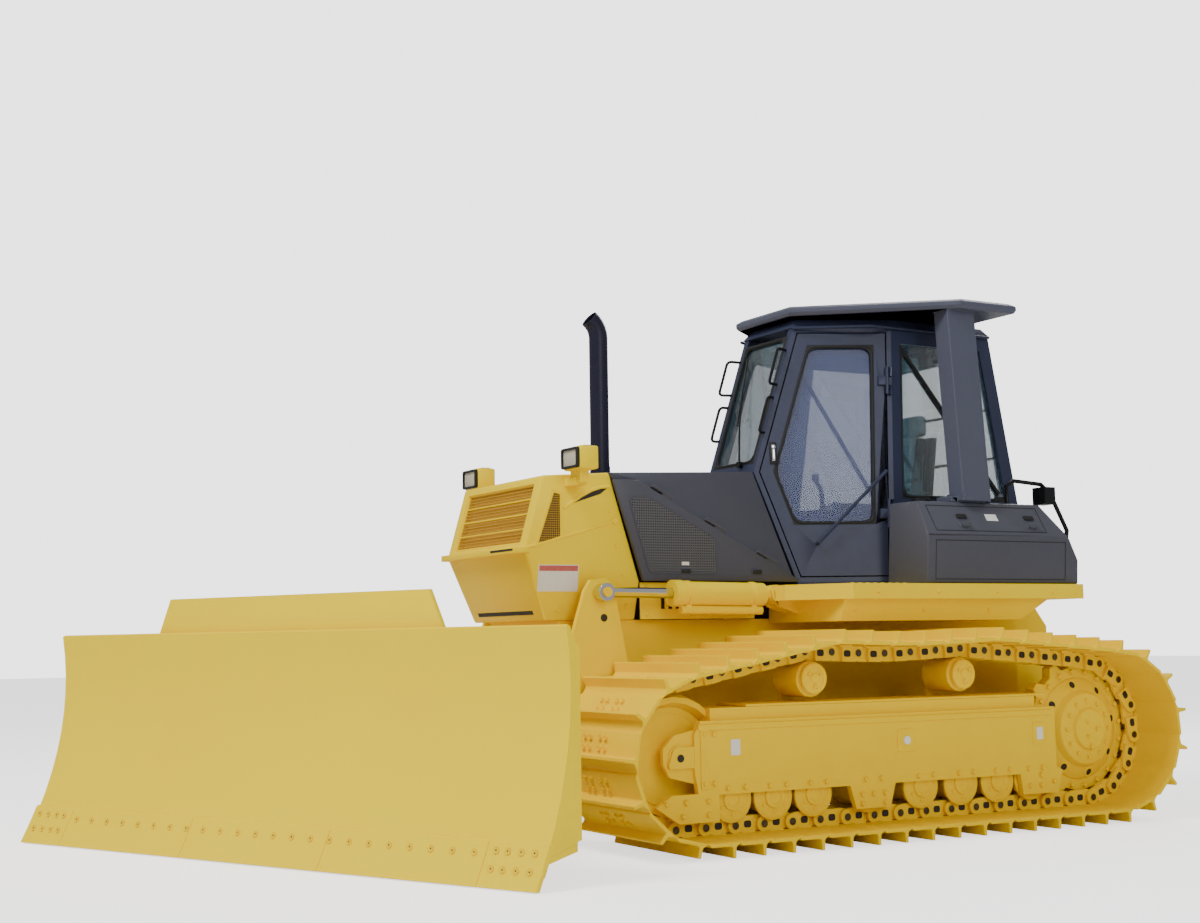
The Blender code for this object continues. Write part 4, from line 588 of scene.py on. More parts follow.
def collar(inner, outer, low, high):
    """A turned ring's profile, for lathe."""
    return [(inner, low), (outer, low), (outer, high), (inner, high), (inner, low)]


def soft_rectangle(low, high, radius, steps=4):
    """An outline for plate, with its corners turned into curves."""
    corners = [(low[0], low[1], 0), (high[0], low[1], 0), (high[0], high[1], 0), (low[0], high[1], 0)]
    return [(p.x, p.y) for p in rounded(corners, radius, steps)]


def rounded(points, radius, steps=5):
    """A closed line with its corners turned into curves."""
    points = [Vector(p) for p in points]
    made = []
    for i, corner in enumerate(points):
        before, after = points[i - 1], points[(i + 1) % len(points)]
        reach = min(radius, (before - corner).length * 0.45, (after - corner).length * 0.45)
        start = corner + (before - corner).normalized() * reach
        end = corner + (after - corner).normalized() * reach
        for step in range(steps + 1):
            t = step / steps
            made.append(start.lerp(corner, t).lerp(corner.lerp(end, t), t))
    return made


def shrunk(points, normal, distance):
    """A convex closed line in a plane, with every side moved in by the distance."""
    points = [Vector(p) for p in points]
    centre = sum(points, Vector()) / len(points)
    made = []
    for i, corner in enumerate(points):
        before, after = points[i - 1], points[(i + 1) % len(points)]
        sides = []
        for edge in (corner - before, after - corner):
            inward = Vector(normal).cross(edge).normalized()
            sides.append(inward if inward.dot(centre - corner) > 0 else -inward)
        made.append(corner + (sides[0] + sides[1]) * distance / (1 + sides[0].dot(sides[1])))
    return made


def ring(outer, inner, lift, thickness):
    """A flat frame between two closed lines of as many points, thickened along the lift."""
    part = bmesh.new()
    for line in (outer, inner):
        verts = [part.verts.new(point) for point in line]
        for i, vert in enumerate(verts):
            part.edges.new((verts[i - 1], vert))
    bmesh.ops.bridge_loops(part, edges=part.edges[:])
    made = bmesh.ops.extrude_face_region(part, geom=part.faces[:])["geom"]
    shift = Vector(lift).normalized() * thickness
    bmesh.ops.translate(part, vec=shift, verts=[v for v in made if isinstance(v, bmesh.types.BMVert)])
    return closed(part)


def weave(outline, pitch, radius):
    """Wires both ways across a convex outline of (u, v), as a part lying in the XY plane."""
    work = bmesh.new()
    for across in (0, 1):
        values = [p[across] for p in outline]
        count = int((max(values) - min(values)) / pitch)
        for i in range(1, count + 1):
            at = min(values) + i * pitch
            ends = []
            for one, other in zip(outline, outline[1:] + outline[:1]):
                if (one[across] - at) * (other[across] - at) < 0:
                    part = (at - one[across]) / (other[across] - one[across])
                    ends.append(one[1 - across] + (other[1 - across] - one[1 - across]) * part)
            if len(ends) == 2 and abs(ends[0] - ends[1]) > radius:
                lift = radius * (0.6 if across else -0.6)
                line = [(at, e, lift) if across == 0 else (e, at, lift) for e in ends]
                put(work, drum(*line, radius, 6))
    return work


def facing(point, normal, up=(0, 0, 1)):
    """Matrix that stands +Z on the normal, with +Y as near to up as it goes."""
    z = Vector(normal).normalized()
    x = Vector(up).cross(z)
    x = x.normalized() if x.length > 0.001 else Vector((1, 0, 0))
    return Matrix.Translation(point) @ Matrix((x, z.cross(x), z)).transposed().to_4x4()


TREES = {}


def on_skin(node, start, toward, rise=0.0):
    """Where a line from the start meets a CAD node, as a matrix that stands on the skin there."""
    if node not in TREES:
        mesh = NODES[node].data
        back = MACHINE.inverted()
        TREES[node] = BVHTree.FromPolygons(
            [back @ v.co for v in mesh.vertices], [tuple(p.vertices) for p in mesh.polygons]
        )
    hit, normal, _, _ = TREES[node].ray_cast(Vector(start), Vector(toward).normalized())
    if hit is None:
        raise ValueError(f"no skin of {node} lies from {tuple(start)} toward {tuple(toward)}")
    normal = normal if normal.dot(Vector(toward)) < 0 else -normal
    return facing(hit + normal * rise, normal)


# ---------------------------------------------------------------- pieces

def body_of(node):
    return NODES[node]["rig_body"]


def settle(name, mesh, body, finish, round_by=0.0, sharp=33.0):
    """Makes the mesh a finished piece on its body."""
    old = bpy.data.objects.get(name)
    if old and old.get("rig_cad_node") is None:
        bpy.data.objects.remove(old)
    mesh.materials.clear()
    mesh.materials.append(paint(finish))
    mesh.shade_smooth()
    mesh.set_sharp_from_angle(angle=radians(sharp))
    obj = bpy.data.objects.new(name, mesh)
    bpy.context.scene.collection.objects.link(obj)
    if round_by:
        bevel = obj.modifiers.new("Bevel", "BEVEL")
        bevel.width = round_by
        bevel.segments = 2
        bevel.limit_method = "ANGLE"
        bevel.angle_limit = radians(35)
        bevel.harden_normals = True
    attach(obj, body)
    return obj


def finished(name, work, body, finish, placed=MACHINE, round_by=0.0, sharp=33.0):
    work.transform(placed)
    mesh = bpy.data.meshes.new(name)
    work.to_mesh(mesh)
    work.free()
    return settle(name, mesh, body, finish, round_by, sharp)


def dress(node, finish, round_by=0.004, sharp=33.0):
    """A welded copy of a CAD node with eased edges and its own paint, in the node's stead."""
    work = bmesh.new()
    work.from_mesh(NODES[node].data)
    bmesh.ops.remove_doubles(work, verts=work.verts, dist=0.00002)
    bmesh.ops.dissolve_limit(work, angle_limit=radians(0.6), verts=work.verts, edges=work.edges)
    obj = finished(node + "_skin", work, body_of(node), finish, Matrix(), round_by, sharp)
    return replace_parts(obj, node)


def coat(node, finish):
    """Puts a finish on a CAD node that shows as it is."""
    obj = NODES[node]
    obj.data.materials.clear()
    obj.data.materials.append(paint(finish))
    return obj


# ---------------------------------------------------------------- blade

def blade_face(z, depth=0.0):
    """Point (y, z) of the moldboard's hollow front, from the blade's pivot."""
    whole = (z - BLADE_FLOOR) / BLADE_HEIGHT
    straight = -BLADE_REACH + (BLADE_REACH - BLADE_TOP_REACH) * whole
    return (straight + BLADE_HOLLOW * 4 * whole * (1 - whole) + depth, z)


def blade_slope(z):
    """Outward normal of the moldboard's front at a height."""
    low, high = Vector(blade_face(z - 0.01)), Vector(blade_face(z + 0.01))
    along = (high - low).normalized()
    return Vector((0, -along.y, along.x))


def build_blade(sizes):
    dress("blade", "yellow", 0.005, 25.0)
    half = BLADE_WIDTH / 2
    bit = sizes.end_bit
    middle = (2 * half - 2 * bit) / 3
    proud = -0.0132
    spans = [(-half, -half + bit), (half - bit, half)]
    spans += [(-half + bit + i * middle, -half + bit + (i + 1) * middle) for i in range(3)]
    edge = bmesh.new()
    heights = [0.006 + 0.197 * i / 6 for i in range(7)]
    for low, high in spans:
        strip = [blade_face(z, proud - 0.006) for z in heights]
        strip += [blade_face(z, proud + 0.004) for z in reversed(heights)]
        put(edge, plate(strip, "X", low + 0.002, high - 0.002))
    finished("cutting_edge", edge, "blade", "yellow", BLADE, 0.002)
    places = []
    count = int((2 * half - 2 * bit) / sizes.edge_bolt_pitch)
    step = (2 * half - 2 * bit) / count
    spots = [(-half + bit + step * (i + 0.5), 0.150) for i in range(count)]
    for side in (-1, 1):
        for across in (0.07, 0.15, 0.23, 0.30):
            spots += [(side * (half - across), 0.165), (side * (half - across), 0.085)]
    for x, z in spots:
        y, z = blade_face(z, proud - 0.006)
        places.append(facing((x, y, z), blade_slope(z)))
    heads = bmesh.new()
    put(heads, drum((0, 0, -0.004), (0, 0, 0.005), 0.017, 20, 0.002), *places)
    finished("cutting_edge_bolts", heads, "blade", "low_yellow", BLADE)
    # Dark hexagon sockets in the bolt heads: painted shade in their recesses.
    slots = bmesh.new()
    put(slots, drum((0, 0, -0.004), (0, 0, 0.0062), 0.0045, 6), *places)
    finished("cutting_edge_bolt_sockets", slots, "blade", "dark", BLADE)
    # A rolled lip along the top edge and the spill guard's welded gussets.
    top = BLADE_FLOOR + BLADE_HEIGHT
    trim = bmesh.new()
    lip_y = blade_face(top)[0] + 0.015
    put(trim, drum((-half + 0.012, lip_y, top - 0.002), (half - 0.012, lip_y, top - 0.002), 0.009, 12))
    guard_y = blade_face(top)[0] + 0.085
    for x in (-0.9, -0.45, 0.0, 0.45, 0.9):
        gusset = [(guard_y - 0.002, top - 0.05), (guard_y + 0.075, top - 0.05), (guard_y - 0.002, top + 0.14)]
        put(trim, plate(gusset, "X", x - 0.008, x + 0.008))
    finished("blade_trim", trim, "blade", "yellow", BLADE, 0.002)
    pins = bmesh.new()
    put(pins, drum((0.40, -0.16, 0.94), (0.40, -0.035, 0.94), 0.022, 20, 0.002))
    finished("tilt_pin", pins, "blade", "steel", BLADE)


# ---------------------------------------------------------------- push frame and cylinders

def build_push_frame(sizes):
    dress("c_frame", "yellow", 0.005)
    dress("blade_carrier", "yellow", 0.006)
    caps = bmesh.new()
    hollows = bmesh.new()
    for _, side in SIDES:
        outer = 0.612
        put(caps, drum((side * 0.600, -1.62, 1.392), (side * 0.700, -1.62, 1.392), 0.026, 20, 0.002))
        put(caps, drum((side * 0.612, -1.62, 1.392), (side * 0.619, -1.62, 1.392), 0.052, 28, 0.002))
        put(caps, drum((side * 0.60, -2.10, 0.715), (side * 0.60, -2.10, 0.822), 0.020, 20, 0.002))
        # Dark discs on the frame's sides: painted shade in its pin holes.
        for y, z in ((-1.60, 1.25), (-1.40, 0.76)):
            put(hollows, drum((side * outer, y, z), (side * (outer + 0.001), y, z), 0.022, 20))
        put(caps, drum((side * 0.57, -0.05, 0.60), (side * 0.584, -0.05, 0.60), 0.060, 32, 0.003))
    put(caps, drum((0, -2.98, 0.640), (0, -2.98, 0.722), 0.044, 28, 0.003))
    finished("push_frame_pins", caps, "c_frame", "low_yellow")
    finished("push_frame_holes", hollows, "c_frame", "dark")
    bolts = bmesh.new()
    ring_places = []
    for _, side in SIDES:
        for i in range(6):
            turn = pi / 3 * i
            place = (side * 0.580, -0.05 + 0.085 * cos(turn), 0.60 + 0.085 * sin(turn) * 0.7)
            ring_places.append(facing(place, (side, 0, 0)))
        for y, z in ((-1.90, 0.60), (-1.84, 0.54), (-1.28, 0.60), (-1.28, 0.54)):
            ring_places.append(facing((side * 0.612, y, z), (side, 0, 0)))
    put(bolts, bolt(0.013), *ring_places)
    finished("push_frame_bolts", bolts, "c_frame", "low_yellow")
    for name, _ in SIDES:
        for kind in ("lift", "angle"):
            dress(f"{kind}_{name}_barrel", "yellow", 0.003)
            dress(f"{kind}_{name}_rod", "chrome", 0.002)
    dress("tilt_barrel", "yellow", 0.003)
    dress("tilt_rod", "chrome", 0.002)
    # Under each lift barrel its oil line runs in a stout tube, held by two clamps.
    for name, side in SIDES:
        foot, eye = Vector((side * 0.655, -0.47, 1.378)), Vector((side * 0.655, -1.62, 1.392))
        along = (eye - foot).normalized()
        drop = Vector((side * 0.012, 0, -0.094))
        line = bmesh.new()
        start, end = foot + along * 0.10 + drop, foot + along * 0.66 + drop
        put(line, drum(start, end, 0.024, 20, 0.003))
        for at in (0.16, 0.61):
            middle = foot + along * at
            low, high = middle + Vector((-0.026, -0.016, -0.100)), middle + Vector((0.030, 0.016, -0.040))
            put(line, block(low, high))
            put(line, lathe(collar(0.0665, 0.0735, -0.012, 0.012), middle, "Y", 28))
        finished(f"lift_{name}_oil_tube", line, f"lift_{name}_barrel", "yellow", MACHINE, 0.002)


# ---------------------------------------------------------------- tracks

def tangent(centre, radius, point, turn):
    """Angle on the circle where a line from the point touches it."""
    dy, dz = point[0] - centre[0], point[1] - centre[1]
    return atan2(dz, dy) + turn * acos(radius / hypot(dy, dz))


def arc(centre, radius, start, end, steps):
    angles = [start + (end - start) * i / steps for i in range(steps + 1)]
    return [(centre[0] + radius * cos(a), centre[1] + radius * sin(a)) for a in angles]


def pin_places():
    """Points at equal steps round the closed line of the track pins."""
    idler = (IDLER[0], PIN_Z + IDLER[1])
    sprocket = (SPROCKET[0], PIN_Z + SPROCKET[1])
    front, rear = ((y, CARRIER_PIN_Z) for y in CARRIERS)
    up = tangent(idler, IDLER[1], front, 1)
    down = tangent(sprocket, SPROCKET[1], rear, -1)
    path = arc(idler, IDLER[1], -pi / 2, up - 2 * pi, 24)
    path.append(front)
    for part in (0.25, 0.5, 0.75):
        y = front[0] + (rear[0] - front[0]) * part
        path.append((y, CARRIER_PIN_Z - TOP_SAG * 4 * part * (1 - part)))
    path.append(rear)
    path += arc(sprocket, SPROCKET[1], down, -pi / 2, 24)
    line = [Vector(p) for p in path]
    line.append(line[0])
    lengths = [(b - a).length for a, b in zip(line, line[1:])]
    step = sum(lengths) / SHOE_COUNT
    points = []
    for i in range(SHOE_COUNT):
        left = i * step
        for start, end, length in zip(line, line[1:], lengths):
            if left <= length:
                points.append(start + (end - start) * (left / length))
                break
            left -= length
    return points


def link_places(centre):
    """Matrix of every link: +Y runs along the chain from its pin and +Z out of the loop."""
    points = pin_places()
    made = []
    for i, start in enumerate(points):
        along = (points[(i + 1) % len(points)] - start).normalized()
        made.append(Matrix((
            (1, 0, 0, centre), (0, along.x, -along.y, start.x), (0, along.y, along.x, start.y), (0, 0, 0, 1),
        )))
    return made


def build_tracks(sizes):
    shoe = [
        (-0.026, 0.034), (-0.026, 0.041), (-0.004, 0.046), (0.017, 0.060), (0.0245, 0.068), (0.0262, 0.1215),
        (0.0442, 0.1215), (0.0462, 0.068), (0.054, 0.061), (0.172, 0.061), (0.183, 0.055),
        (0.187, 0.044), (0.178, 0.042), (0.004, 0.040),
    ]
    pitch = 0.1895
    boss = arc((0, 0), 0.044, pi / 2, 3 * pi / 2, 10)
    near_half = boss + [(0.030, -0.050), (0.116, -0.050), (0.116, 0.036), (0.03, 0.036)]
    boss = arc((pitch, 0), 0.044, -pi / 2, pi / 2, 10)
    far_half = [(0.16, 0.036), (0.076, 0.036), (0.076, -0.050), (0.16, -0.050)] + boss
    for name, side in SIDES:
        places = link_places(side * TRACK_X)
        shoes = bmesh.new()
        put(shoes, plate(shoe, "X", -SHOE_HALF_W, SHOE_HALF_W), *places)
        track = finished(f"track_{name}_shoes", shoes, "base", "low_yellow", MACHINE, 0.0035)
        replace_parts(track, "track_" + name)
        heads = bmesh.new()
        spots = [
            Matrix.Translation((hand * (RAIL_X + off), y, 0.0605))
            for hand in (-1, 1) for off in (-0.030, 0.030) for y in (0.085, 0.140)
        ]
        put(heads, gather_at(bolt(sizes.shoe_bolt), spots), *places)
        finished(f"track_{name}_bolts", heads, "base", "low_yellow")
        one = bmesh.new()
        holes = bmesh.new()
        pins = bmesh.new()
        for hand in (-1, 1):
            put(one, plate(near_half, "X", hand * 0.0575, hand * 0.0800))
            put(one, plate(far_half, "X", hand * 0.0800, hand * 0.1025))
            put(one, block((hand * 0.058, 0.06, 0.030), (hand * 0.102, 0.15, 0.043)))
            # Dark slots on each link's side: painted shade in the link's openings.
            slot = soft_rectangle((0.086, -0.024), (0.134, 0.014), 0.015, 3)
            put(holes, plate(slot, "X", hand * 0.1020, hand * 0.1031))
        put(pins, drum((-0.1060, 0, 0), (0.1060, 0, 0), 0.019, 18, 0.002))
        links = bmesh.new()
        put(links, one, *places)
        put(links, drum((-0.058, 0, 0), (0.058, 0, 0), 0.030, 16), *places)
        finished(f"track_{name}_links", links, "base", "low_yellow", MACHINE, 0.0025)
        chain_holes = bmesh.new()
        put(chain_holes, holes, *places)
        finished(f"track_{name}_link_holes", chain_holes, "base", "dark")
        chain_pins = bmesh.new()
        put(chain_pins, pins, *places)
        finished(f"track_{name}_pins", chain_pins, "base", "steel")


def build_track_frames(sizes):
    for name, side in SIDES:
        node = "track_frame_" + name
        dress(node, "low_yellow", 0.005)
        centre = side * TRACK_X
        face = side * FRAME_FACE_X
        out = Vector((side, 0, 0))
        discs = bmesh.new()
        cap = [
            (0.0, 0.120), (0.126, 0.120), (0.126, 0.127), (0.112, 0.134), (0.098, 0.134),
            (0.090, 0.126), (0.066, 0.126), (0.060, 0.148), (0.040, 0.150), (0.034, 0.143), (0.0, 0.143),
        ]
        for hand in (-1, 1):
            profile = [(r, hand * a) for r, a in cap]
            for y in ROLLER_Y:
                put(discs, lathe(profile, (centre, y, ROLLER_Z)))
        outer_cap = [
            (0.0, 0.140), (0.086, 0.140), (0.086, 0.152), (0.079, 0.158), (0.060, 0.158),
            (0.056, 0.153), (0.030, 0.153), (0.026, 0.160), (0.0, 0.160),
        ]
        for y in CARRIERS:
            put(discs, lathe([(r, side * a) for r, a in outer_cap], (centre, y, CARRIER_Z)))
        idler = (centre, IDLER[0], PIN_Z + IDLER[1])
        hub = [(0.0, 0.140), (0.070, 0.140), (0.070, 0.156), (0.056, 0.162), (0.0, 0.162)]
        rim = [(0.205, 0.030), (0.235, 0.046), (0.262, 0.046), (0.272, 0.030)]
        for hand in (-1, 1):
            put(discs, lathe([(r, hand * a) for r, a in hub], idler))
            put(discs, lathe([(r, hand * a) for r, a in rim], idler, steps=48))
        finished(f"track_frame_{name}_rollers", discs, "base", "low_yellow", MACHINE, 0.0, 40.0)
        heads = bmesh.new()
        places = []
        for y in ROLLER_Y:
            places += [(y - 0.055, 0.332), (y + 0.055, 0.332)]
        places += [(-1.36, 0.36), (-1.36, 0.62), (-1.30, 0.36), (-1.30, 0.62)]
        places += [(-1.60, 0.27), (-1.48, 0.27), (-1.34, 0.27), (-1.34, 0.20), (-1.50, 0.20)]
        places += [(-0.32, 0.25), (-0.24, 0.25), (-0.16, 0.25), (-0.32, 0.20), (-0.16, 0.20)]
        places += [(0.93, 0.23), (1.02, 0.23), (1.12, 0.25), (1.02, 0.29)]
        spots = [on_skin(node, (side * 1.6, y, z), -out) for y, z in places]
        put(heads, bolt(0.013), *spots)
        put(heads, bolt(0.010), *(
            facing((centre + side * 0.152, y + 0.045 * cos(a), CARRIER_Z + 0.045 * sin(a)), out)
            for y in CARRIERS for a in (pi / 6, 5 * pi / 6, 3 * pi / 2)
        ))
        put(heads, bolt(0.011), *(
            facing((centre + side * 0.126, y + 0.078 * cos(a), ROLLER_Z + 0.078 * sin(a)), out)
            for y in ROLLER_Y for a in (0.5, 1.55, 2.6, 3.7, 4.7, 5.75)
        ))
        finished(f"track_frame_{name}_bolts", heads, "base", "low_yellow")
        # Idler yoke: a stepped plate with the adjuster's eye, and a rib over the beam's top edge.
        yoke = bmesh.new()
        x_in, x_out = face - side * 0.004, face + side * 0.014
        cheek = [(-1.585, 0.445, 0), (-1.400, 0.445, 0), (-1.400, 0.560, 0), (-1.545, 0.560, 0)]
        cheek = [(p.x, p.y) for p in rounded(cheek, 0.03, 4)]
        put(yoke, plate(cheek, "X", centre + side * 0.140, centre + side * 0.172))
        put(yoke, block((x_in, -1.400, 0.640), (x_out - side * 0.004, 1.12, 0.672)))
        put(yoke, block((x_in, -1.385, 0.330), (x_out - side * 0.006, -1.335, 0.650)))
        for y, wide in ((0.005, 0.065), (1.02, 0.055)):
            pad = soft_rectangle((y - wide, 0.47), (y + wide, 0.60), 0.02)
            put(yoke, plate(pad, "X", x_in, face + side * 0.006))
        step = [(-1.07, 0.756), (1.10, 0.756), (1.10, 0.770), (-1.07, 0.770)]
        put(yoke, plate(step, "X", centre - 0.150, centre + 0.150))
        finished(f"track_frame_{name}_plates", yoke, "base", "low_yellow", MACHINE, 0.004)
        # A dark disc on the adjuster's eye: painted shade in its hole.
        dark = bmesh.new()
        eye_x = centre + side * 0.171
        put(dark, drum((eye_x, -1.505, 0.500), (eye_x + side * 0.0025, -1.505, 0.500), 0.021, 20))
        finished(f"track_frame_{name}_hollows", dark, "base", "dark")
        labels = bmesh.new()
        for y, z, wide, high in ((-1.16, 0.545, 0.030, 0.042), (1.02, 0.535, 0.024, 0.036)):
            lift = face + side * (0.0065 if y > 0 else 0.0005)
            low = (lift - side * 0.003, y - wide, z - high)
            put(labels, block(low, (lift + side * 0.0008, y + wide, z + high)))
        finished(f"track_frame_{name}_labels", labels, "base", "white")
        cap = bmesh.new()
        put(cap, drum((face, 0.005, 0.535), (face + side * 0.012, 0.005, 0.535), 0.024, 24, 0.002))
        finished(f"track_frame_{name}_filler", cap, "base", "white")


def build_final_drives(sizes):
    for name, side in SIDES:
        node = "final_drive_" + name
        dress(node, "low_yellow", 0.004)
        centre = (side * TRACK_X, SPROCKET[0], PIN_Z + SPROCKET[1])
        far = side * 1.6

        def around(count, radius, lead=0.0):
            angles = [lead + 2 * pi * i / count for i in range(count)]
            starts = [(far, centre[1] + radius * cos(a), centre[2] + radius * sin(a)) for a in angles]
            return [on_skin(node, start, (-side, 0, 0)) for start in starts]

        heads = bmesh.new()
        put(heads, bolt(0.015), *around(20, 0.345, 0.1))
        put(heads, bolt(0.011), *around(12, 0.168))
        put(heads, bolt(0.011), *around(3, 0.05))
        finished(f"final_drive_{name}_bolts", heads, "base", "low_yellow")
        collars = bmesh.new()
        dark = bmesh.new()
        # Dark discs inside the collars: painted shade in the holes.
        for place in around(8, 0.272, 0.2):
            put(collars, lathe(collar(0.022, 0.033, -0.004, 0.003), (0, 0, 0), "Z", 20), place)
            put(dark, drum((0, 0, -0.003), (0, 0, 0.0012), 0.023, 20), place)
        plug = on_skin(node, (far, centre[1], centre[2] - 0.105), (-side, 0, 0))
        put(collars, drum((0, 0, -0.002), (0, 0, 0.012), 0.017, 20, 0.002), plug)
        finished(f"final_drive_{name}_collars", collars, "base", "low_yellow")
        finished(f"final_drive_{name}_holes", dark, "base", "dark")


def build_hull(sizes):
    dress("main_frame", "low_yellow", 0.008)
    heads = bmesh.new()
    spots = [(x, z) for x in (-0.30, -0.1, 0.1, 0.30) for z in (0.55, 1.12)]
    spots += [(x, z) for x in (-0.26, 0.26) for z in (0.65, 0.87)]
    put(heads, bolt(0.016), *(on_skin("main_frame", (x, 2.6, z), (0, -1, 0)) for x, z in spots))
    finished("hull_rear_bolts", heads, "base", "low_yellow")
    # Yellow sills close the engine bay between the hull and the side covers.
    sills = bmesh.new()
    slots = bmesh.new()
    for _, side in SIDES:
        sill = [(-1.300, 1.242), (-0.512, 1.242), (-0.512, 1.452), (-1.300, 1.452)]
        put(sills, plate(sill, "X", side * 0.498, side * 0.508))
        put(sills, block((side * 0.506, -0.905, 1.245), (side * 0.512, -0.895, 1.450)))
        put(sills, bolt(0.010), *(
            facing((side * 0.508, y, z), (side, 0, 0))
            for y in (-1.26, -0.95, -0.85, -0.55) for z in (1.27, 1.425)
        ))
        # Dark slots in the sills: painted shade in the openings.
        for y in (-1.15, -1.10, -1.05):
            put(slots, block((side * 0.507, y - 0.012, 1.30), (side * 0.5086, y + 0.012, 1.39)))
    finished("engine_bay_sills", sills, "base", "yellow", MACHINE, 0.002)
    finished("engine_bay_slots", slots, "base", "dark")
    cover = bmesh.new()
    put(cover, plate(soft_rectangle((-0.20, 0.97), (0.20, 1.10), 0.03), "Y", 1.925, 1.945))
    put(cover, drum((0, 1.93, 1.035), (0, 1.962, 1.035), 0.045, 28, 0.003))
    finished("hull_rear_cover", cover, "base", "low_yellow", MACHINE, 0.004)
    ports = bmesh.new()
    for x in (-0.33, -0.25, 0.25, 0.33):
        put(ports, drum((x, 1.92, 0.99), (x, 1.975, 0.99), 0.018, 16, 0.003))
        put(ports, drum((x, 1.92, 0.99), (x, 1.945, 0.99), 0.026, 6, 0.002))
    finished("hull_rear_ports", ports, "base", "steel")


# ---------------------------------------------------------------- nose, hood and lamps

def nose_crown(part):
    """Point (y, z) on the crease over the nose's side window, from its front to its back."""
    return (-1.80 + 0.30 * part, 1.865 + 0.135 * sin(part * pi / 2))


def build_nose(sizes):
    dress("radiator_guard", "yellow", 0.006)
    dress("radiator", "dark", 0.004)
    top, lip = Vector(NOSE_TOP), Vector(NOSE_LIP)
    up = (top - lip).normalized()
    plane = Matrix((
        (1, 0, 0, 0), (0, up.x, -up.y, lip.x + 0.018), (0, up.y, up.x, lip.y), (0, 0, 0, 1),
    ))
    height = (top - lip).length
    low, high = 0.040, height - 0.048
    mesh = weave([(-0.44, low), (0.44, low), (0.44, high), (-0.44, high)], sizes.wire_pitch, 0.0028)
    mesh.transform(plane)
    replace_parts(finished("grille_wires", mesh, "base", "wire"), "grille")
    backing = block((-0.43, low, -0.034), (0.43, high, -0.030))
    backing.transform(plane)
    finished("grille_backing", gather(backing), "base", "wire")
    bars = bmesh.new()
    for part in (1 / 4, 2 / 4, 3 / 4):
        at = low + (high - low) * part
        put(bars, block((-0.44, at - 0.004, -0.010), (0.44, at + 0.004, 0.007), 0.002))
    for x in (-0.436, 0.436):
        put(bars, block((x - 0.006, low, -0.012), (x + 0.006, high, 0.008), 0.003))
    for at in (low + 0.002, high - 0.002):
        put(bars, block((-0.44, at - 0.006, -0.012), (0.44, at + 0.006, 0.008), 0.003))
    bars.transform(plane)
    finished("grille_frame", bars, "base", "yellow")
    trim = bmesh.new()
    put(trim, block((-0.532, -2.086, 1.612), (0.532, -2.020, 1.648), 0.006))
    for _, side in SIDES:
        crease = [
            (side * 0.520, -2.03, 1.645), (side * NOSE_SIDE_X, -1.80, 1.705),
            (side * NOSE_SIDE_X, -1.47, 1.800),
        ]
        put(trim, tube(crease, 0.008))
        line = [Vector((side * 0.5195, y, z)) for y, z in NOSE_WINDOW]
        put(trim, ring(shrunk(line, (1, 0, 0), -0.014), line, (side, 0, 0), 0.007))
        put(trim, tube([(side * NOSE_SIDE_X, *nose_crown(i / 5)) for i in range(6)], 0.010))
    finished("nose_trim", trim, "base", "yellow")
    # Dark pieces: a strip on the lip, a slot at the guard's foot, a crescent on each side below the curved
    # crease, and a sheet behind each side window's mesh. They are painted shade and painted shadow in
    # openings and under overhangs.
    dark = bmesh.new()
    put(dark, block((0.16, -2.0868, 1.628), (0.45, -2.080, 1.641)))
    put(dark, block((-0.36, -0.012, -0.004), (0.36, 0.012, 0.0012)))
    dark.verts.ensure_lookup_table()
    foot = on_skin("radiator_guard", (0, -2.6, 1.285), (0, 1, 0))
    bmesh.ops.transform(dark, matrix=foot, verts=dark.verts[-8:])
    for _, side in SIDES:
        curve = [nose_crown(i / 4) for i in range(5)]
        curve += [(-1.56 - 0.20 * part, 1.955 - 0.065 * part) for part in (0, 0.5, 1)]
        put(dark, plate(curve, "X", side * 0.516, side * 0.5208))
        put(dark, plate(NOSE_WINDOW, "X", side * 0.516, side * 0.5203))
    finished("nose_slots", dark, "base", "dark")
    for name, side in SIDES:
        wires = weave(NOSE_WINDOW, 0.013, 0.0016)
        turn = Matrix(((0, 0, 1, side * 0.523), (1, 0, 0, 0), (0, 1, 0, 0), (0, 0, 0, 1)))
        wires.transform(turn)
        finished(f"nose_mesh_{name}", wires, "base", "wire")
        heads = bmesh.new()
        places = [on_skin("radiator_guard", (side * 1.2, y, z), (-side, 0, 0)) for y, z in (
            (-1.50, 1.86), (-1.46, 1.66), (-1.42, 1.50), (-1.38, 1.32), (-1.82, 1.30), (-1.60, 1.30),
            (-1.475, 1.80),
        )]
        put(heads, bolt(0.011), *places[:-1])
        put(heads, drum((0, 0, 0), (0, 0, 0.012), 0.015, 18, 0.003), places[-1])
        finished(f"nose_bolts_{name}", heads, "base", "yellow")
        # The warning plate is left blank: white below a red band.
        spot = on_skin("radiator_guard", (side * 1.2, -1.83, 1.475), (-side, 0, 0))
        sheet = gather_at(block((-0.125, -0.075, -0.001), (0.125, 0.075, 0.0012), 0.0), [spot])
        finished(f"nose_plate_{name}", sheet, "base", "white")
        band = gather_at(block((-0.120, 0.040, 0.0), (0.120, 0.071, 0.0018)), [spot])
        finished(f"nose_plate_band_{name}", band, "base", "red")


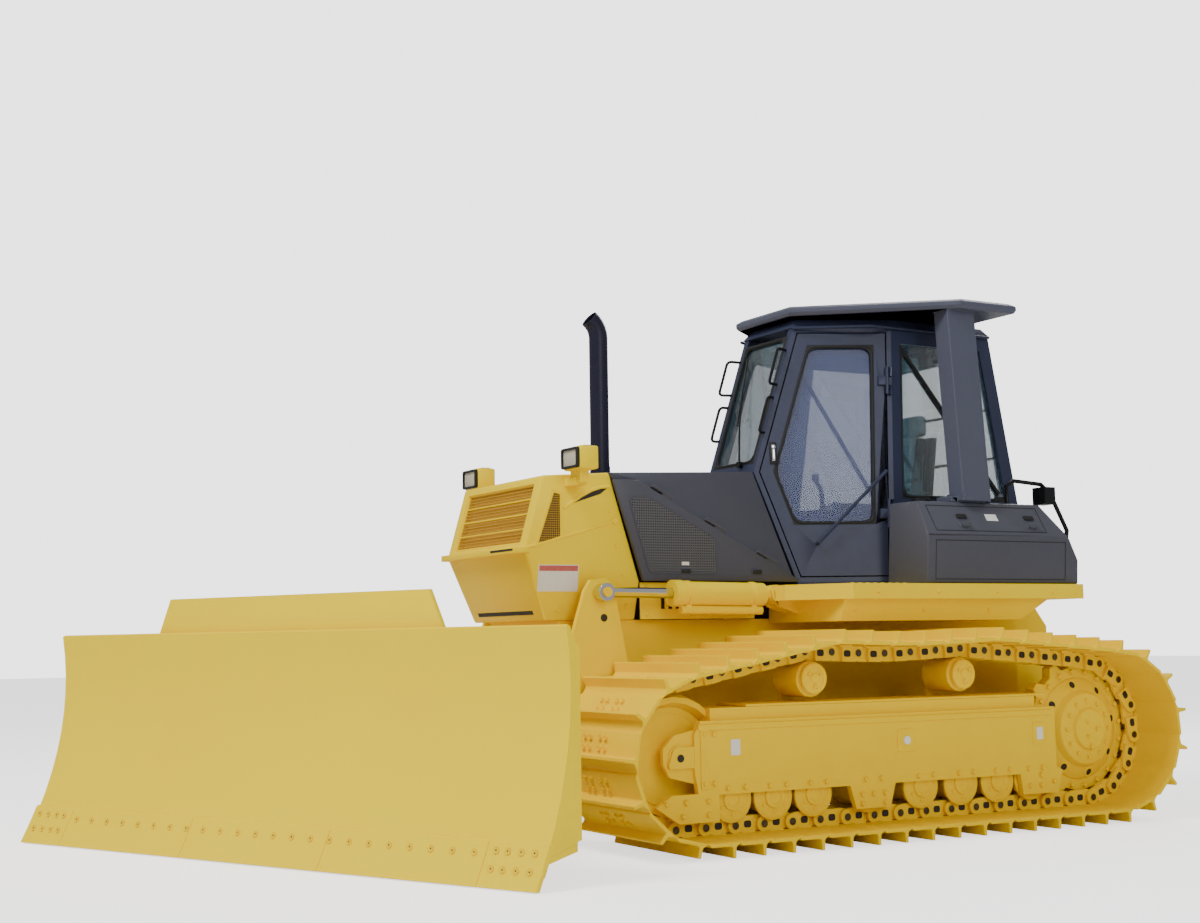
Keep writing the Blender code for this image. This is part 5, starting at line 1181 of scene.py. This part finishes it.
def build_lamps(sizes):
    for name, side in SIDES:
        dress("front_lamp_" + name, "yellow", 0.003)
        x = side * 0.66
        rim = bmesh.new()
        corners = [
            Vector((x + a * 0.094, -1.819, 2.135 + b * 0.058))
            for a, b in ((-1, -1), (1, -1), (1, 1), (-1, 1))
        ]
        line = rounded(corners, 0.018)
        inner = rounded(shrunk(corners, (0, 1, 0), 0.014), 0.012)
        put(rim, ring(line, inner, (0, -1, 0), 0.020))
        put(rim, block((x - 0.07, -1.78, 2.196), (x + 0.07, -1.72, 2.206), 0.003))
        finished(f"front_lamp_{name}_rim", rim, "base", "rubber", MACHINE, 0.002)
        lens = gather(block((x - 0.082, -1.829, 2.088), (x + 0.082, -1.818, 2.182), 0.004))
        finished(f"front_lamp_{name}_lens", lens, "base", "lens")
        dress("rear_rail_" + name, "black", 0.0)
        rear = gather(block((side * 0.93 - 0.042, 1.488, 1.955), (side * 0.93 + 0.042, 1.498, 2.038), 0.004))
        finished(f"rear_lamp_{name}_lens", rear, "base", "lens")


def build_hood(sizes):
    dress("hood_top", "grey", 0.006)
    dress("engine_block", "casting", 0.008)
    dress("exhaust_stack", "pipe", 0.0, 40.0)
    flange = [
        (0.056, 0.0), (0.074, 0.0), (0.074, 0.012), (0.060, 0.020), (0.060, 0.055), (0.056, 0.055),
        (0.056, 0.0),
    ]
    finished("exhaust_collar", gather(lathe(flange, (0.20, -1.38, 2.094), "Z", 40)), "base", "pipe")
    panel = plate([(-0.24, -1.30), (0.24, -1.30), (0.22, -0.45), (-0.22, -0.45)], "Z", 2.08, 2.092)
    finished("hood_top_panel", gather(panel), "base", "grey")
    for name, side in SIDES:
        node = "engine_cover_" + name
        dress(node, "grey", 0.006)
        panel = [(-1.265, 1.500), (-0.800, 1.500), (-0.800, 1.715), (-1.250, 1.945), (-1.400, 1.945)]
        corners = [Vector((side * 0.553, y, z)) for y, z in panel]
        outer = rounded(corners, 0.04)
        sheet = plate([(p.y, p.z) for p in outer], "X", side * 0.5530, side * 0.5565)
        finished(f"{node}_perforated", gather(sheet), node, "holes")
        inner = rounded(shrunk(corners, (1, 0, 0), 0.010), 0.035)
        border = ring(outer, inner, (side, 0, 0), 0.0052)
        finished(f"{node}_border", gather(border), node, "grey", MACHINE, 0.0015)
        latches = bmesh.new()
        for y in (-1.02, -0.52):
            put(latches, block((side * 0.556, y - 0.030, 1.507), (side * 0.568, y + 0.030, 1.530), 0.004))
        finished(f"{node}_latches", latches, node, "rubber")
        labels = bmesh.new()
        put(labels, block((side * 0.553, -1.045, 1.552), (side * 0.5572, -0.995, 1.572)))
        finished(f"{node}_label", labels, node, "white")


# ---------------------------------------------------------------- decks and side boxes

def build_decks(sizes):
    for name, side in SIDES:
        dress("deck_" + name, "yellow", 0.005)
        dress("tank_" + name, "grey", 0.007)
        heads = bmesh.new()
        skin = "deck_" + name
        places = [on_skin(skin, (side * 1.6, y, 1.385), (-side, 0, 0)) for y in (-0.1, 0.35, 0.8, 1.25)]
        places += [on_skin(skin, (side * 1.6, y, 1.28), (-side, 0, 0)) for y in (-0.20, 0.30, 0.80)]
        put(heads, bolt(0.011), *places)
        pin = [(side * 0.735, -0.47, 1.378), (side * 0.752, -0.47, 1.378)]
        put(heads, drum(*pin, 0.030, 24, 0.003))
        finished(f"deck_{name}_bolts", heads, "base", "yellow")
        treads = bmesh.new()
        for i in range(8):
            for j in range(3):
                x, y = side * (0.80 + j * 0.13), -0.20 + i * 0.055
                put(treads, drum((x, y, 1.428), (x, y, 1.436), 0.016, 10, 0.0, 0.011))
        finished(f"deck_{name}_grip", treads, "base", "yellow")
        seams = bmesh.new()
        panel = [
            Vector((side * 1.60, y, z))
            for y, z in ((0.36, 1.455), (1.40, 1.455), (1.40, 1.690), (0.36, 1.690))
        ]
        skin = "tank_" + name
        line = [on_skin(skin, p, (-side, 0, 0), 0.0005).translation for p in panel]
        normal = Vector((side, 0, 0))
        put(seams, ring(line, shrunk(line, normal, 0.005), normal, 0.0006))
        band = [
            Vector((side * 1.60, y, z))
            for y, z in ((0.38, 1.745), (1.26, 1.745), (1.26, 1.905), (0.38, 1.905))
        ]
        line = [on_skin(skin, p, (-side, 0, 0), 0.0005) for p in band]
        normal = line[0].to_3x3() @ Vector((0, 0, 1))
        line = [m.translation for m in line]
        put(seams, ring(line, shrunk(line, normal, 0.005), normal, 0.0006))
        finished(f"tank_{name}_seams", seams, "base", "rubber")
        latches = bmesh.new()
        spots = [on_skin(skin, (side * 1.60, y, 1.835), (-side, 0, 0)) for y in (0.62, 1.16)]
        put(latches, gather(block((-0.038, -0.014, -0.002), (0.038, 0.016, 0.010), 0.004)), *spots)
        finished(f"tank_{name}_latches", latches, "base", "rubber")
        labels = bmesh.new()
        spot = on_skin(skin, (side * 1.60, 0.86, 1.835), (-side, 0, 0))
        put(labels, block((-0.045, -0.024, -0.001), (0.045, 0.024, 0.001)), spot)
        finished(f"tank_{name}_label", labels, "base", "white")
        cap = bmesh.new()
        profile = [(0, 0), (0.058, 0), (0.058, 0.022), (0.050, 0.030), (0, 0.030)]
        put(cap, lathe(profile, (side * 0.88, 0.48, 1.929), "Z", 36))
        finished(f"tank_{name}_cap", cap, "base", "black", MACHINE, 0.003)


# ---------------------------------------------------------------- cab

def pane(node):
    """Corners of the pane's outer face, in order, and the way that it looks."""
    part = bmesh.new()
    part.from_mesh(NODES[node].data)
    bmesh.ops.remove_doubles(part, verts=part.verts, dist=0.00002)
    bmesh.ops.dissolve_limit(part, angle_limit=radians(1), verts=part.verts, edges=part.edges)
    middle = MACHINE @ Vector((0, 0.6, 2.3))
    best = max(part.faces, key=lambda f: (round(f.calc_area(), 3), (f.calc_center_median() - middle).length))
    corners = [MACHINE.inverted() @ v.co for v in best.verts]
    normal = best.normal.copy()
    if normal.dot(best.calc_center_median() - middle) < 0:
        normal = -normal
    part.free()
    return corners, normal


def window_seal(name, node, body, lift, wide):
    """Rubber round a pane: square outside, rounded inside, standing over the pane."""
    corners, normal = pane(node)
    seal = bmesh.new()
    for start, thick in ((-0.004, lift), (-0.018, 0.008)):
        outer = [p + normal * start for p in rounded(shrunk(corners, normal, -0.004), 0.004)]
        inner = [p + normal * start for p in rounded(shrunk(corners, normal, wide), 0.065)]
        if start < -0.01:
            outer = [p + normal * start for p in rounded(shrunk(corners, normal, 0.002), 0.004)]
        put(seal, ring(outer, inner, normal, thick))
    finished(name, seal, body, "rubber", MACHINE, 0.002)
    line = rounded(shrunk(corners, normal, wide * 0.5), 0.05)
    bead = tube([p + normal * (lift - 0.004) for p in line], 0.006, True)
    finished(name + "_bead", gather(bead), body, "rubber")


def build_cab(sizes):
    dress("cab_frame", "navy", 0.004)
    dress("cab_roof", "navy", 0.006)
    dress("cab_floor", "navy", 0.003)
    for node in FIXED_PANES:
        window_seal(node + "_seal", node, "base", 0.017, SEAL_WIDTH)
    # A weather strip behind each door's edge.
    for name, side in SIDES:
        _, normal = pane("door_glass_" + name)
        opening = [Vector((side * x, y, z)) - normal * 0.043 for x, y, z in DOOR_CORNERS]
        strip = ring(*(shrunk(opening, normal, inset) for inset in DOOR_STRIP), -normal, 0.006)
        finished(f"cab_door_{name}_strip", gather(strip), "base", "rubber")
    # Wiper on the windshield, parked upright beside the pillar.
    foot = Vector((0.10, 0, 2.21))
    foot.y = -0.320 + (2.21 - 2.15) * 0.32 / 0.93 - 0.020
    head = Vector((-0.10, 0, 2.72))
    head.y = -0.320 + (2.72 - 2.15) * 0.32 / 0.93 - 0.020
    wiper = gather(tube([foot, foot.lerp(head, 0.5) + Vector((0, -0.012, 0)), head], 0.006))
    blade_low, blade_high = head + Vector((0.06, -0.105, -0.24)), head + Vector((-0.06, 0.075, 0.22))
    put(wiper, tube([blade_low + Vector((0, 0.012, 0)), blade_high + Vector((0, 0.012, 0))], 0.007))
    put(wiper, drum(foot + Vector((0, -0.012, 0)), foot + Vector((0, 0.03, 0)), 0.020, 20, 0.003))
    finished("windshield_wiper", wiper, "base", "black")
    # Looped brackets that carry the front corner mirrors.
    loops = bmesh.new()
    for _, side in SIDES:
        for z, reach in ((2.93, 0.10), (2.62, 0.07)):
            y = -0.320 + (z - 2.15) * 0.32 / 0.93
            x = side * 0.245
            top_y = y + 0.02
            low_y = -0.320 + (z - 0.22 - 2.15) * 0.32 / 0.93 + 0.02
            out = x + side * reach * 0.4
            ends = [(x, top_y + 0.02, z), (x, low_y + 0.02, z - 0.22)]
            bends = [(out, top_y - reach, z + 0.01), (out, low_y - reach, z - 0.22)]
            line = rounded([ends[0], *bends, ends[1]], 0.03, 4)
            put(loops, tube([ends[0], *line[5:-5], ends[1]], 0.009))
    finished("mirror_brackets", loops, "base", "black")
    dress("rops_canopy", "canopy", 0.006)
    heads = bmesh.new()
    for _, side in SIDES:
        for x in (0.965, 1.115):
            for y in (0.63, 0.91):
                put(heads, bolt(0.012), facing((side * x, y, 1.965), (0, 0, 1)))
    finished("canopy_pad_bolts", heads, "base", "canopy")
    rain = bmesh.new()
    for _, side in SIDES:
        eaves = [(side * 0.285, -0.02, 3.075), (side * 0.565, 0.40, 3.075), (side * 0.552, 1.38, 3.075)]
        put(rain, tube(eaves, 0.009))
    finished("roof_gutter", rain, "base", "navy")
    bar = bmesh.new()
    for part in (0.30, 0.62):
        z = 1.98 + part
        y = 1.560 + (z - 1.46) * (1.390 - 1.560) / 1.62 - 0.040
        put(bar, tube([(-0.50, y, z), (0.50, y, z)], 0.010))
    finished("rear_guard_bars", bar, "base", "black")


def build_doors(sizes):
    for name, side in SIDES:
        body = "cab_door_" + name
        dress(body, "navy", 0.004)
        window_seal(f"{body}_seal", "door_glass_" + name, body, 0.021, SEAL_WIDTH)
        _, normal = pane("door_glass_" + name)
        # The handle sits on the front stile, under its pale lever.
        spot = on_skin(body, Vector((side * 0.375, -0.235, 2.28)) + normal * 0.4, -normal)
        pull = gather_at(gather(
            block((-0.022, -0.070, -0.002), (0.022, 0.070, 0.010), 0.005),
        ), [spot])
        finished(f"{body}_handle_plate", pull, body, "rubber")
        lever = gather_at(gather(
            block((-0.012, -0.055, 0.008), (0.010, 0.050, 0.024), 0.005),
            drum((0, 0.035, 0.0), (0, 0.035, 0.026), 0.013, 20, 0.002),
        ), [spot])
        finished(f"{body}_handle", lever, body, "chrome")


def build_glass(sizes):
    for node in FIXED_PANES:
        coat(node, "glass")
    for node in ("door_glass_left", "door_glass_right"):
        coat(node, "deep_glass")


# ---------------------------------------------------------------- operator's place

def build_controls(sizes):
    dress("seat", "plastic", 0.004)
    dress("dashboard", "plastic", 0.006)
    knobs = bmesh.new()
    for side in (-1, 1):
        knob = [(0, -0.03), (0.018, -0.025), (0.026, 0.0), (0.022, 0.026), (0, 0.034)]
        boot = [(0.017, -0.02), (0.030, -0.02), (0.024, 0.02), (0.017, 0.02)]
        put(knobs, lathe(knob, (side * 0.34, 0.598, 2.195), "Z", 24))
        put(knobs, lathe(boot, (side * 0.34, 0.655, 1.99), "Z", 24))
    finished("control_knobs", knobs, "base", "rubber")
    dials = bmesh.new()
    for x in (-0.12, 0.0, 0.12):
        put(dials, drum((x, -0.075, 2.175), (x, -0.060, 2.196), 0.038, 28, 0.002))
    finished("dash_dials", dials, "base", "black")
    rests = bmesh.new()
    for side in (-1, 1):
        put(rests, block((side * 0.27, 0.78, 1.985), (side * 0.41, 1.09, 2.030), 0.016))
    finished("arm_rests", rests, "base", "cloth")
    head = bmesh.new()
    put(head, block((-0.13, 1.115, 2.455), (0.13, 1.195, 2.60), 0.028))
    finished("seat_headrest", head, "base", "cloth")
    pedals = bmesh.new()
    for x in (-0.16, 0.16):
        put(pedals, block((x - 0.05, 0.14, 1.50), (x + 0.05, 0.17, 1.62), 0.008))
        put(pedals, drum((x, 0.10, 1.49), (x, 0.155, 1.56), 0.012, 12))
    finished("foot_pedals", pedals, "base", "rubber")


def padded_copy(node, swell, finish):
    """A stuffed copy of a CAD pad. It starts a little small and the cloth's pressure fills it."""
    work = bmesh.new()
    work.from_mesh(NODES[node].data)
    bmesh.ops.remove_doubles(work, verts=work.verts, dist=0.00002)
    low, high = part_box(node)
    middle = (low + high) / 2
    bmesh.ops.translate(work, vec=-middle, verts=work.verts)
    bmesh.ops.scale(work, vec=PAD_START, verts=work.verts)
    bmesh.ops.translate(work, vec=middle, verts=work.verts)
    obj = finished(node + "_pad", work, body_of(node), finish, Matrix(), 0.0, 60.0)
    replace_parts(obj, node)
    scene = bpy.context.scene
    remesh = obj.modifiers.new("Remesh", "REMESH")
    remesh.mode = "VOXEL"
    remesh.voxel_size = PAD_VOXEL
    cloth = obj.modifiers.new("Cloth", "CLOTH")
    cloth.settings.quality = 5
    cloth.settings.mass = 0.4
    cloth.settings.tension_stiffness = 25
    cloth.settings.compression_stiffness = 25
    cloth.settings.bending_stiffness = 6
    cloth.settings.use_pressure = True
    cloth.settings.uniform_pressure_force = swell
    cloth.settings.effector_weights.gravity = 0
    cloth.point_cache.frame_start = 1
    cloth.point_cache.frame_end = 20
    for step in range(1, PAD_STEPS + 1):
        scene.frame_set(step)
    graph = bpy.context.evaluated_depsgraph_get()
    mesh = bpy.data.meshes.new_from_object(obj.evaluated_get(graph))
    obj.modifiers.clear()
    obj.data = mesh
    scene.frame_set(1)
    held = bmesh.new()
    held.from_mesh(mesh)
    # The cover stays inside its pad's own room, give or take the pile.
    for vert in held.verts:
        for i in range(3):
            vert.co[i] = min(max(vert.co[i], low[i] - PAD_SLACK[0]), high[i] + PAD_SLACK[1])
    bmesh.ops.smooth_vert(
        held, verts=held.verts, factor=0.5, use_axis_x=True, use_axis_y=True, use_axis_z=True
    )
    held.to_mesh(mesh)
    held.free()
    mesh.materials.clear()
    mesh.materials.append(paint(finish))
    mesh.shade_smooth()
    return obj


def build_cushions(sizes):
    padded_copy("seat_cushion", sizes.cushion_pressure, "cloth")
    padded_copy("seat_backrest", sizes.cushion_pressure, "cloth")
    seams = bmesh.new()
    for x in (-0.11, 0.11):
        put(seams, tube([(x, 0.56, 1.878), (x, 0.77, 1.882), (x, 0.97, 1.878)], 0.0035))
        put(seams, tube([(x * 0.9, 0.955, 1.95), (x * 0.86, 0.995, 2.18), (x * 0.8, 1.055, 2.40)], 0.0035))
    finished("seat_piping", seams, "base", "rubber")


# ---------------------------------------------------------------- stage

def build_stage(sizes):
    scene = bpy.context.scene
    floor = bpy.data.meshes.new("studio_floor")
    part = bmesh.new()
    bmesh.ops.create_grid(part, x_segments=1, y_segments=1, size=60)
    bmesh.ops.translate(part, vec=(0, 0, -0.002), verts=part.verts)
    part.to_mesh(floor)
    part.free()
    floor.materials.append(paint("floor"))
    ground = bpy.data.objects.new("studio_floor", floor)
    scene.collection.objects.link(ground)
    world = bpy.data.worlds.new("studio")
    world.use_nodes = True
    sky = world.node_tree.nodes["Background"]
    sky.inputs["Color"].default_value = linear("#ffffff")
    seen = add_node(world.node_tree, "ShaderNodeLightPath", output="Is Camera Ray")
    add_node(
        world.node_tree, "ShaderNodeMapRange",
        {"Value": seen, "To Min": sizes.sky_strength, "To Max": BACKDROP_GLOW}, "Result",
        sky.inputs["Strength"],
    )
    scene.world = world
    target = MACHINE @ Vector((0, -0.6, 1.2))
    for name, place, size, power in STUDIO_LAMPS:
        lamp = bpy.data.lights.new(name, "AREA")
        lamp.shape = "DISK"
        lamp.size = size
        lamp.energy = power * sizes.lamp_power
        obj = bpy.data.objects.new(name, lamp)
        obj.location = place
        obj.rotation_euler = (target - Vector(place)).to_track_quat("-Z", "Y").to_euler()
        scene.collection.objects.link(obj)
    lens = bpy.data.cameras.new("view")
    lens.lens = LENS_LENGTH
    lens.sensor_width = 36.0
    lens.sensor_fit = "HORIZONTAL"
    lens.clip_end = 200
    eye = bpy.data.objects.new("view", lens)
    azimuth, rise, roll = map(radians, EYE_TURN)
    look = Vector((-sin(azimuth) * cos(rise), cos(azimuth) * cos(rise), sin(rise)))
    turn = look.to_track_quat("-Z", "Y").to_matrix().to_4x4() @ Matrix.Rotation(roll, 4, "Z")
    eye.matrix_world = MACHINE @ Matrix.Translation(EYE) @ turn
    scene.collection.objects.link(eye)
    scene.camera = eye


# ---------------------------------------------------------------- add-on

class BulldozerSettings(bpy.types.PropertyGroup):
    end_bit: bpy.props.FloatProperty(
        name="End bit", description="Length of the end bit at each side of the cutting edge",
        default=0.36, min=0.1, unit="LENGTH",
    )
    edge_bolt_pitch: bpy.props.FloatProperty(
        name="Edge bolt pitch", description="Distance between the bolts of the cutting edge",
        default=0.135, min=0.05, unit="LENGTH",
    )
    shoe_bolt: bpy.props.FloatProperty(
        name="Shoe bolt", description="Radius of the heads that hold a shoe on its links",
        default=0.0135, min=0.005, unit="LENGTH",
    )
    wire_pitch: bpy.props.FloatProperty(
        name="Grille wire pitch", description="Distance between the wires of the nose grille",
        default=0.020, min=0.01, unit="LENGTH",
    )
    cushion_pressure: bpy.props.FloatProperty(
        name="Cushion pressure", description="Pressure that fills the seat's pads",
        default=4.0, min=0.0,
    )
    body_yellow: bpy.props.FloatVectorProperty(
        name="Body yellow", description="Enamel of the blade, the frames and the upper body",
        default=linear("#ffe200")[:3], size=3, subtype="COLOR", min=0.0, max=1.0,
    )
    track_yellow: bpy.props.FloatVectorProperty(
        name="Track yellow", description="Enamel of the track frames and the push frame, under dust",
        default=linear("#ffda00")[:3], size=3, subtype="COLOR", min=0.0, max=1.0,
    )
    hood_grey: bpy.props.FloatVectorProperty(
        name="Hood grey", description="Enamel of the hood and the side boxes",
        default=linear("#52535d")[:3], size=3, subtype="COLOR", min=0.0, max=1.0,
    )
    cab_blue_grey: bpy.props.FloatVectorProperty(
        name="Cab blue-grey", description="Enamel of the cab's posts and doors",
        default=linear("#363b52")[:3], size=3, subtype="COLOR", min=0.0, max=1.0,
    )
    canopy_grey: bpy.props.FloatVectorProperty(
        name="Canopy grey", description="Enamel of the canopy over the cab",
        default=linear("#565969")[:3], size=3, subtype="COLOR", min=0.0, max=1.0,
    )
    sky_strength: bpy.props.FloatProperty(
        name="Sky strength", description="Brightness of the studio's white surroundings",
        default=0.42, min=0.0,
    )
    lamp_power: bpy.props.FloatProperty(
        name="Lamp power", description="Multiplies the power of the three studio lamps",
        default=1.0, min=0.0,
    )


class BULLDOZER_OT_blade(bpy.types.Operator):
    """Moldboard with its cutting edge, end bits and bolts"""

    bl_idname = "bulldozer.blade"
    bl_label = "Blade"
    bl_options = {"REGISTER", "UNDO"}

    def execute(self, context):
        build_blade(context.scene.bulldozer)
        return {"FINISHED"}


class BULLDOZER_OT_push_frame(bpy.types.Operator):
    """C-frame, swing block and the five cylinders"""

    bl_idname = "bulldozer.push_frame"
    bl_label = "Push frame"
    bl_options = {"REGISTER", "UNDO"}

    def execute(self, context):
        build_push_frame(context.scene.bulldozer)
        return {"FINISHED"}


class BULLDOZER_OT_tracks(bpy.types.Operator):
    """Shoes, links and pins of both tracks"""

    bl_idname = "bulldozer.tracks"
    bl_label = "Tracks"
    bl_options = {"REGISTER", "UNDO"}

    def execute(self, context):
        build_tracks(context.scene.bulldozer)
        return {"FINISHED"}


class BULLDOZER_OT_track_frames(bpy.types.Operator):
    """Side beams, rollers, idlers, guards and plates"""

    bl_idname = "bulldozer.track_frames"
    bl_label = "Track frames"
    bl_options = {"REGISTER", "UNDO"}

    def execute(self, context):
        build_track_frames(context.scene.bulldozer)
        return {"FINISHED"}


class BULLDOZER_OT_final_drives(bpy.types.Operator):
    """Sprockets with their hubs and bolts"""

    bl_idname = "bulldozer.final_drives"
    bl_label = "Final drives"
    bl_options = {"REGISTER", "UNDO"}

    def execute(self, context):
        build_final_drives(context.scene.bulldozer)
        return {"FINISHED"}


class BULLDOZER_OT_hull(bpy.types.Operator):
    """Hull with its rear covers, ports and bolts"""

    bl_idname = "bulldozer.hull"
    bl_label = "Hull"
    bl_options = {"REGISTER", "UNDO"}

    def execute(self, context):
        build_hull(context.scene.bulldozer)
        return {"FINISHED"}


class BULLDOZER_OT_nose(bpy.types.Operator):
    """Radiator guard, grille, trim and blank plates"""

    bl_idname = "bulldozer.nose"
    bl_label = "Nose"
    bl_options = {"REGISTER", "UNDO"}

    def execute(self, context):
        build_nose(context.scene.bulldozer)
        return {"FINISHED"}


class BULLDOZER_OT_lamps(bpy.types.Operator):
    """Front lamps and rear rails with their lamps"""

    bl_idname = "bulldozer.lamps"
    bl_label = "Lamps"
    bl_options = {"REGISTER", "UNDO"}

    def execute(self, context):
        build_lamps(context.scene.bulldozer)
        return {"FINISHED"}


class BULLDOZER_OT_hood(bpy.types.Operator):
    """Hood, side covers and exhaust"""

    bl_idname = "bulldozer.hood"
    bl_label = "Hood"
    bl_options = {"REGISTER", "UNDO"}

    def execute(self, context):
        build_hood(context.scene.bulldozer)
        return {"FINISHED"}


class BULLDOZER_OT_decks(bpy.types.Operator):
    """Yellow decks and the dark side boxes"""

    bl_idname = "bulldozer.decks"
    bl_label = "Decks"
    bl_options = {"REGISTER", "UNDO"}

    def execute(self, context):
        build_decks(context.scene.bulldozer)
        return {"FINISHED"}


class BULLDOZER_OT_cab(bpy.types.Operator):
    """Cab shell, seals, wiper, brackets and canopy"""

    bl_idname = "bulldozer.cab"
    bl_label = "Cab"
    bl_options = {"REGISTER", "UNDO"}

    def execute(self, context):
        build_cab(context.scene.bulldozer)
        return {"FINISHED"}


class BULLDOZER_OT_doors(bpy.types.Operator):
    """Both cab doors with seals and handles"""

    bl_idname = "bulldozer.doors"
    bl_label = "Doors"
    bl_options = {"REGISTER", "UNDO"}

    def execute(self, context):
        build_doors(context.scene.bulldozer)
        return {"FINISHED"}


class BULLDOZER_OT_glass(bpy.types.Operator):
    """Finish of the six panes"""

    bl_idname = "bulldozer.glass"
    bl_label = "Glass"
    bl_options = {"REGISTER", "UNDO"}

    def execute(self, context):
        build_glass(context.scene.bulldozer)
        return {"FINISHED"}


class BULLDOZER_OT_controls(bpy.types.Operator):
    """Seat shell, consoles, dials, rests and pedals"""

    bl_idname = "bulldozer.controls"
    bl_label = "Controls"
    bl_options = {"REGISTER", "UNDO"}

    def execute(self, context):
        build_controls(context.scene.bulldozer)
        return {"FINISHED"}


class BULLDOZER_OT_cushions(bpy.types.Operator):
    """Stuffed seat cushion and backrest"""

    bl_idname = "bulldozer.cushions"
    bl_label = "Cushions"
    bl_options = {"REGISTER", "UNDO"}

    def execute(self, context):
        build_cushions(context.scene.bulldozer)
        return {"FINISHED"}


class BULLDOZER_OT_stage(bpy.types.Operator):
    """Floor, lamps, surroundings and camera"""

    bl_idname = "bulldozer.stage"
    bl_label = "Stage"
    bl_options = {"REGISTER", "UNDO"}

    def execute(self, context):
        build_stage(context.scene.bulldozer)
        return {"FINISHED"}


OPERATORS = (
    BULLDOZER_OT_blade, BULLDOZER_OT_push_frame, BULLDOZER_OT_tracks, BULLDOZER_OT_track_frames,
    BULLDOZER_OT_final_drives, BULLDOZER_OT_hull, BULLDOZER_OT_nose, BULLDOZER_OT_lamps,
    BULLDOZER_OT_hood, BULLDOZER_OT_decks, BULLDOZER_OT_cab, BULLDOZER_OT_doors,
    BULLDOZER_OT_glass, BULLDOZER_OT_controls, BULLDOZER_OT_cushions, BULLDOZER_OT_stage,
)


class BULLDOZER_PT_panel(bpy.types.Panel):
    """Lists the sizes and the pieces"""

    bl_label = "Bulldozer"
    bl_idname = "BULLDOZER_PT_panel"
    bl_space_type = "VIEW_3D"
    bl_region_type = "UI"
    bl_category = "Bulldozer"

    def draw(self, context):
        column = self.layout.column()
        for name in BulldozerSettings.__annotations__:
            column.prop(context.scene.bulldozer, name)
        for made in OPERATORS:
            column.operator(made.bl_idname)


CLASSES = (BulldozerSettings, *OPERATORS, BULLDOZER_PT_panel)


def register():
    for made in CLASSES:
        bpy.utils.register_class(made)
    bpy.types.Scene.bulldozer = bpy.props.PointerProperty(type=BulldozerSettings)


def unregister():
    del bpy.types.Scene.bulldozer
    for made in reversed(CLASSES):
        bpy.utils.unregister_class(made)


def main():
    register()
    for made in OPERATORS:
        getattr(bpy.ops.bulldozer, made.bl_idname.split(".")[1])()


if __name__ == "__main__":
    main()
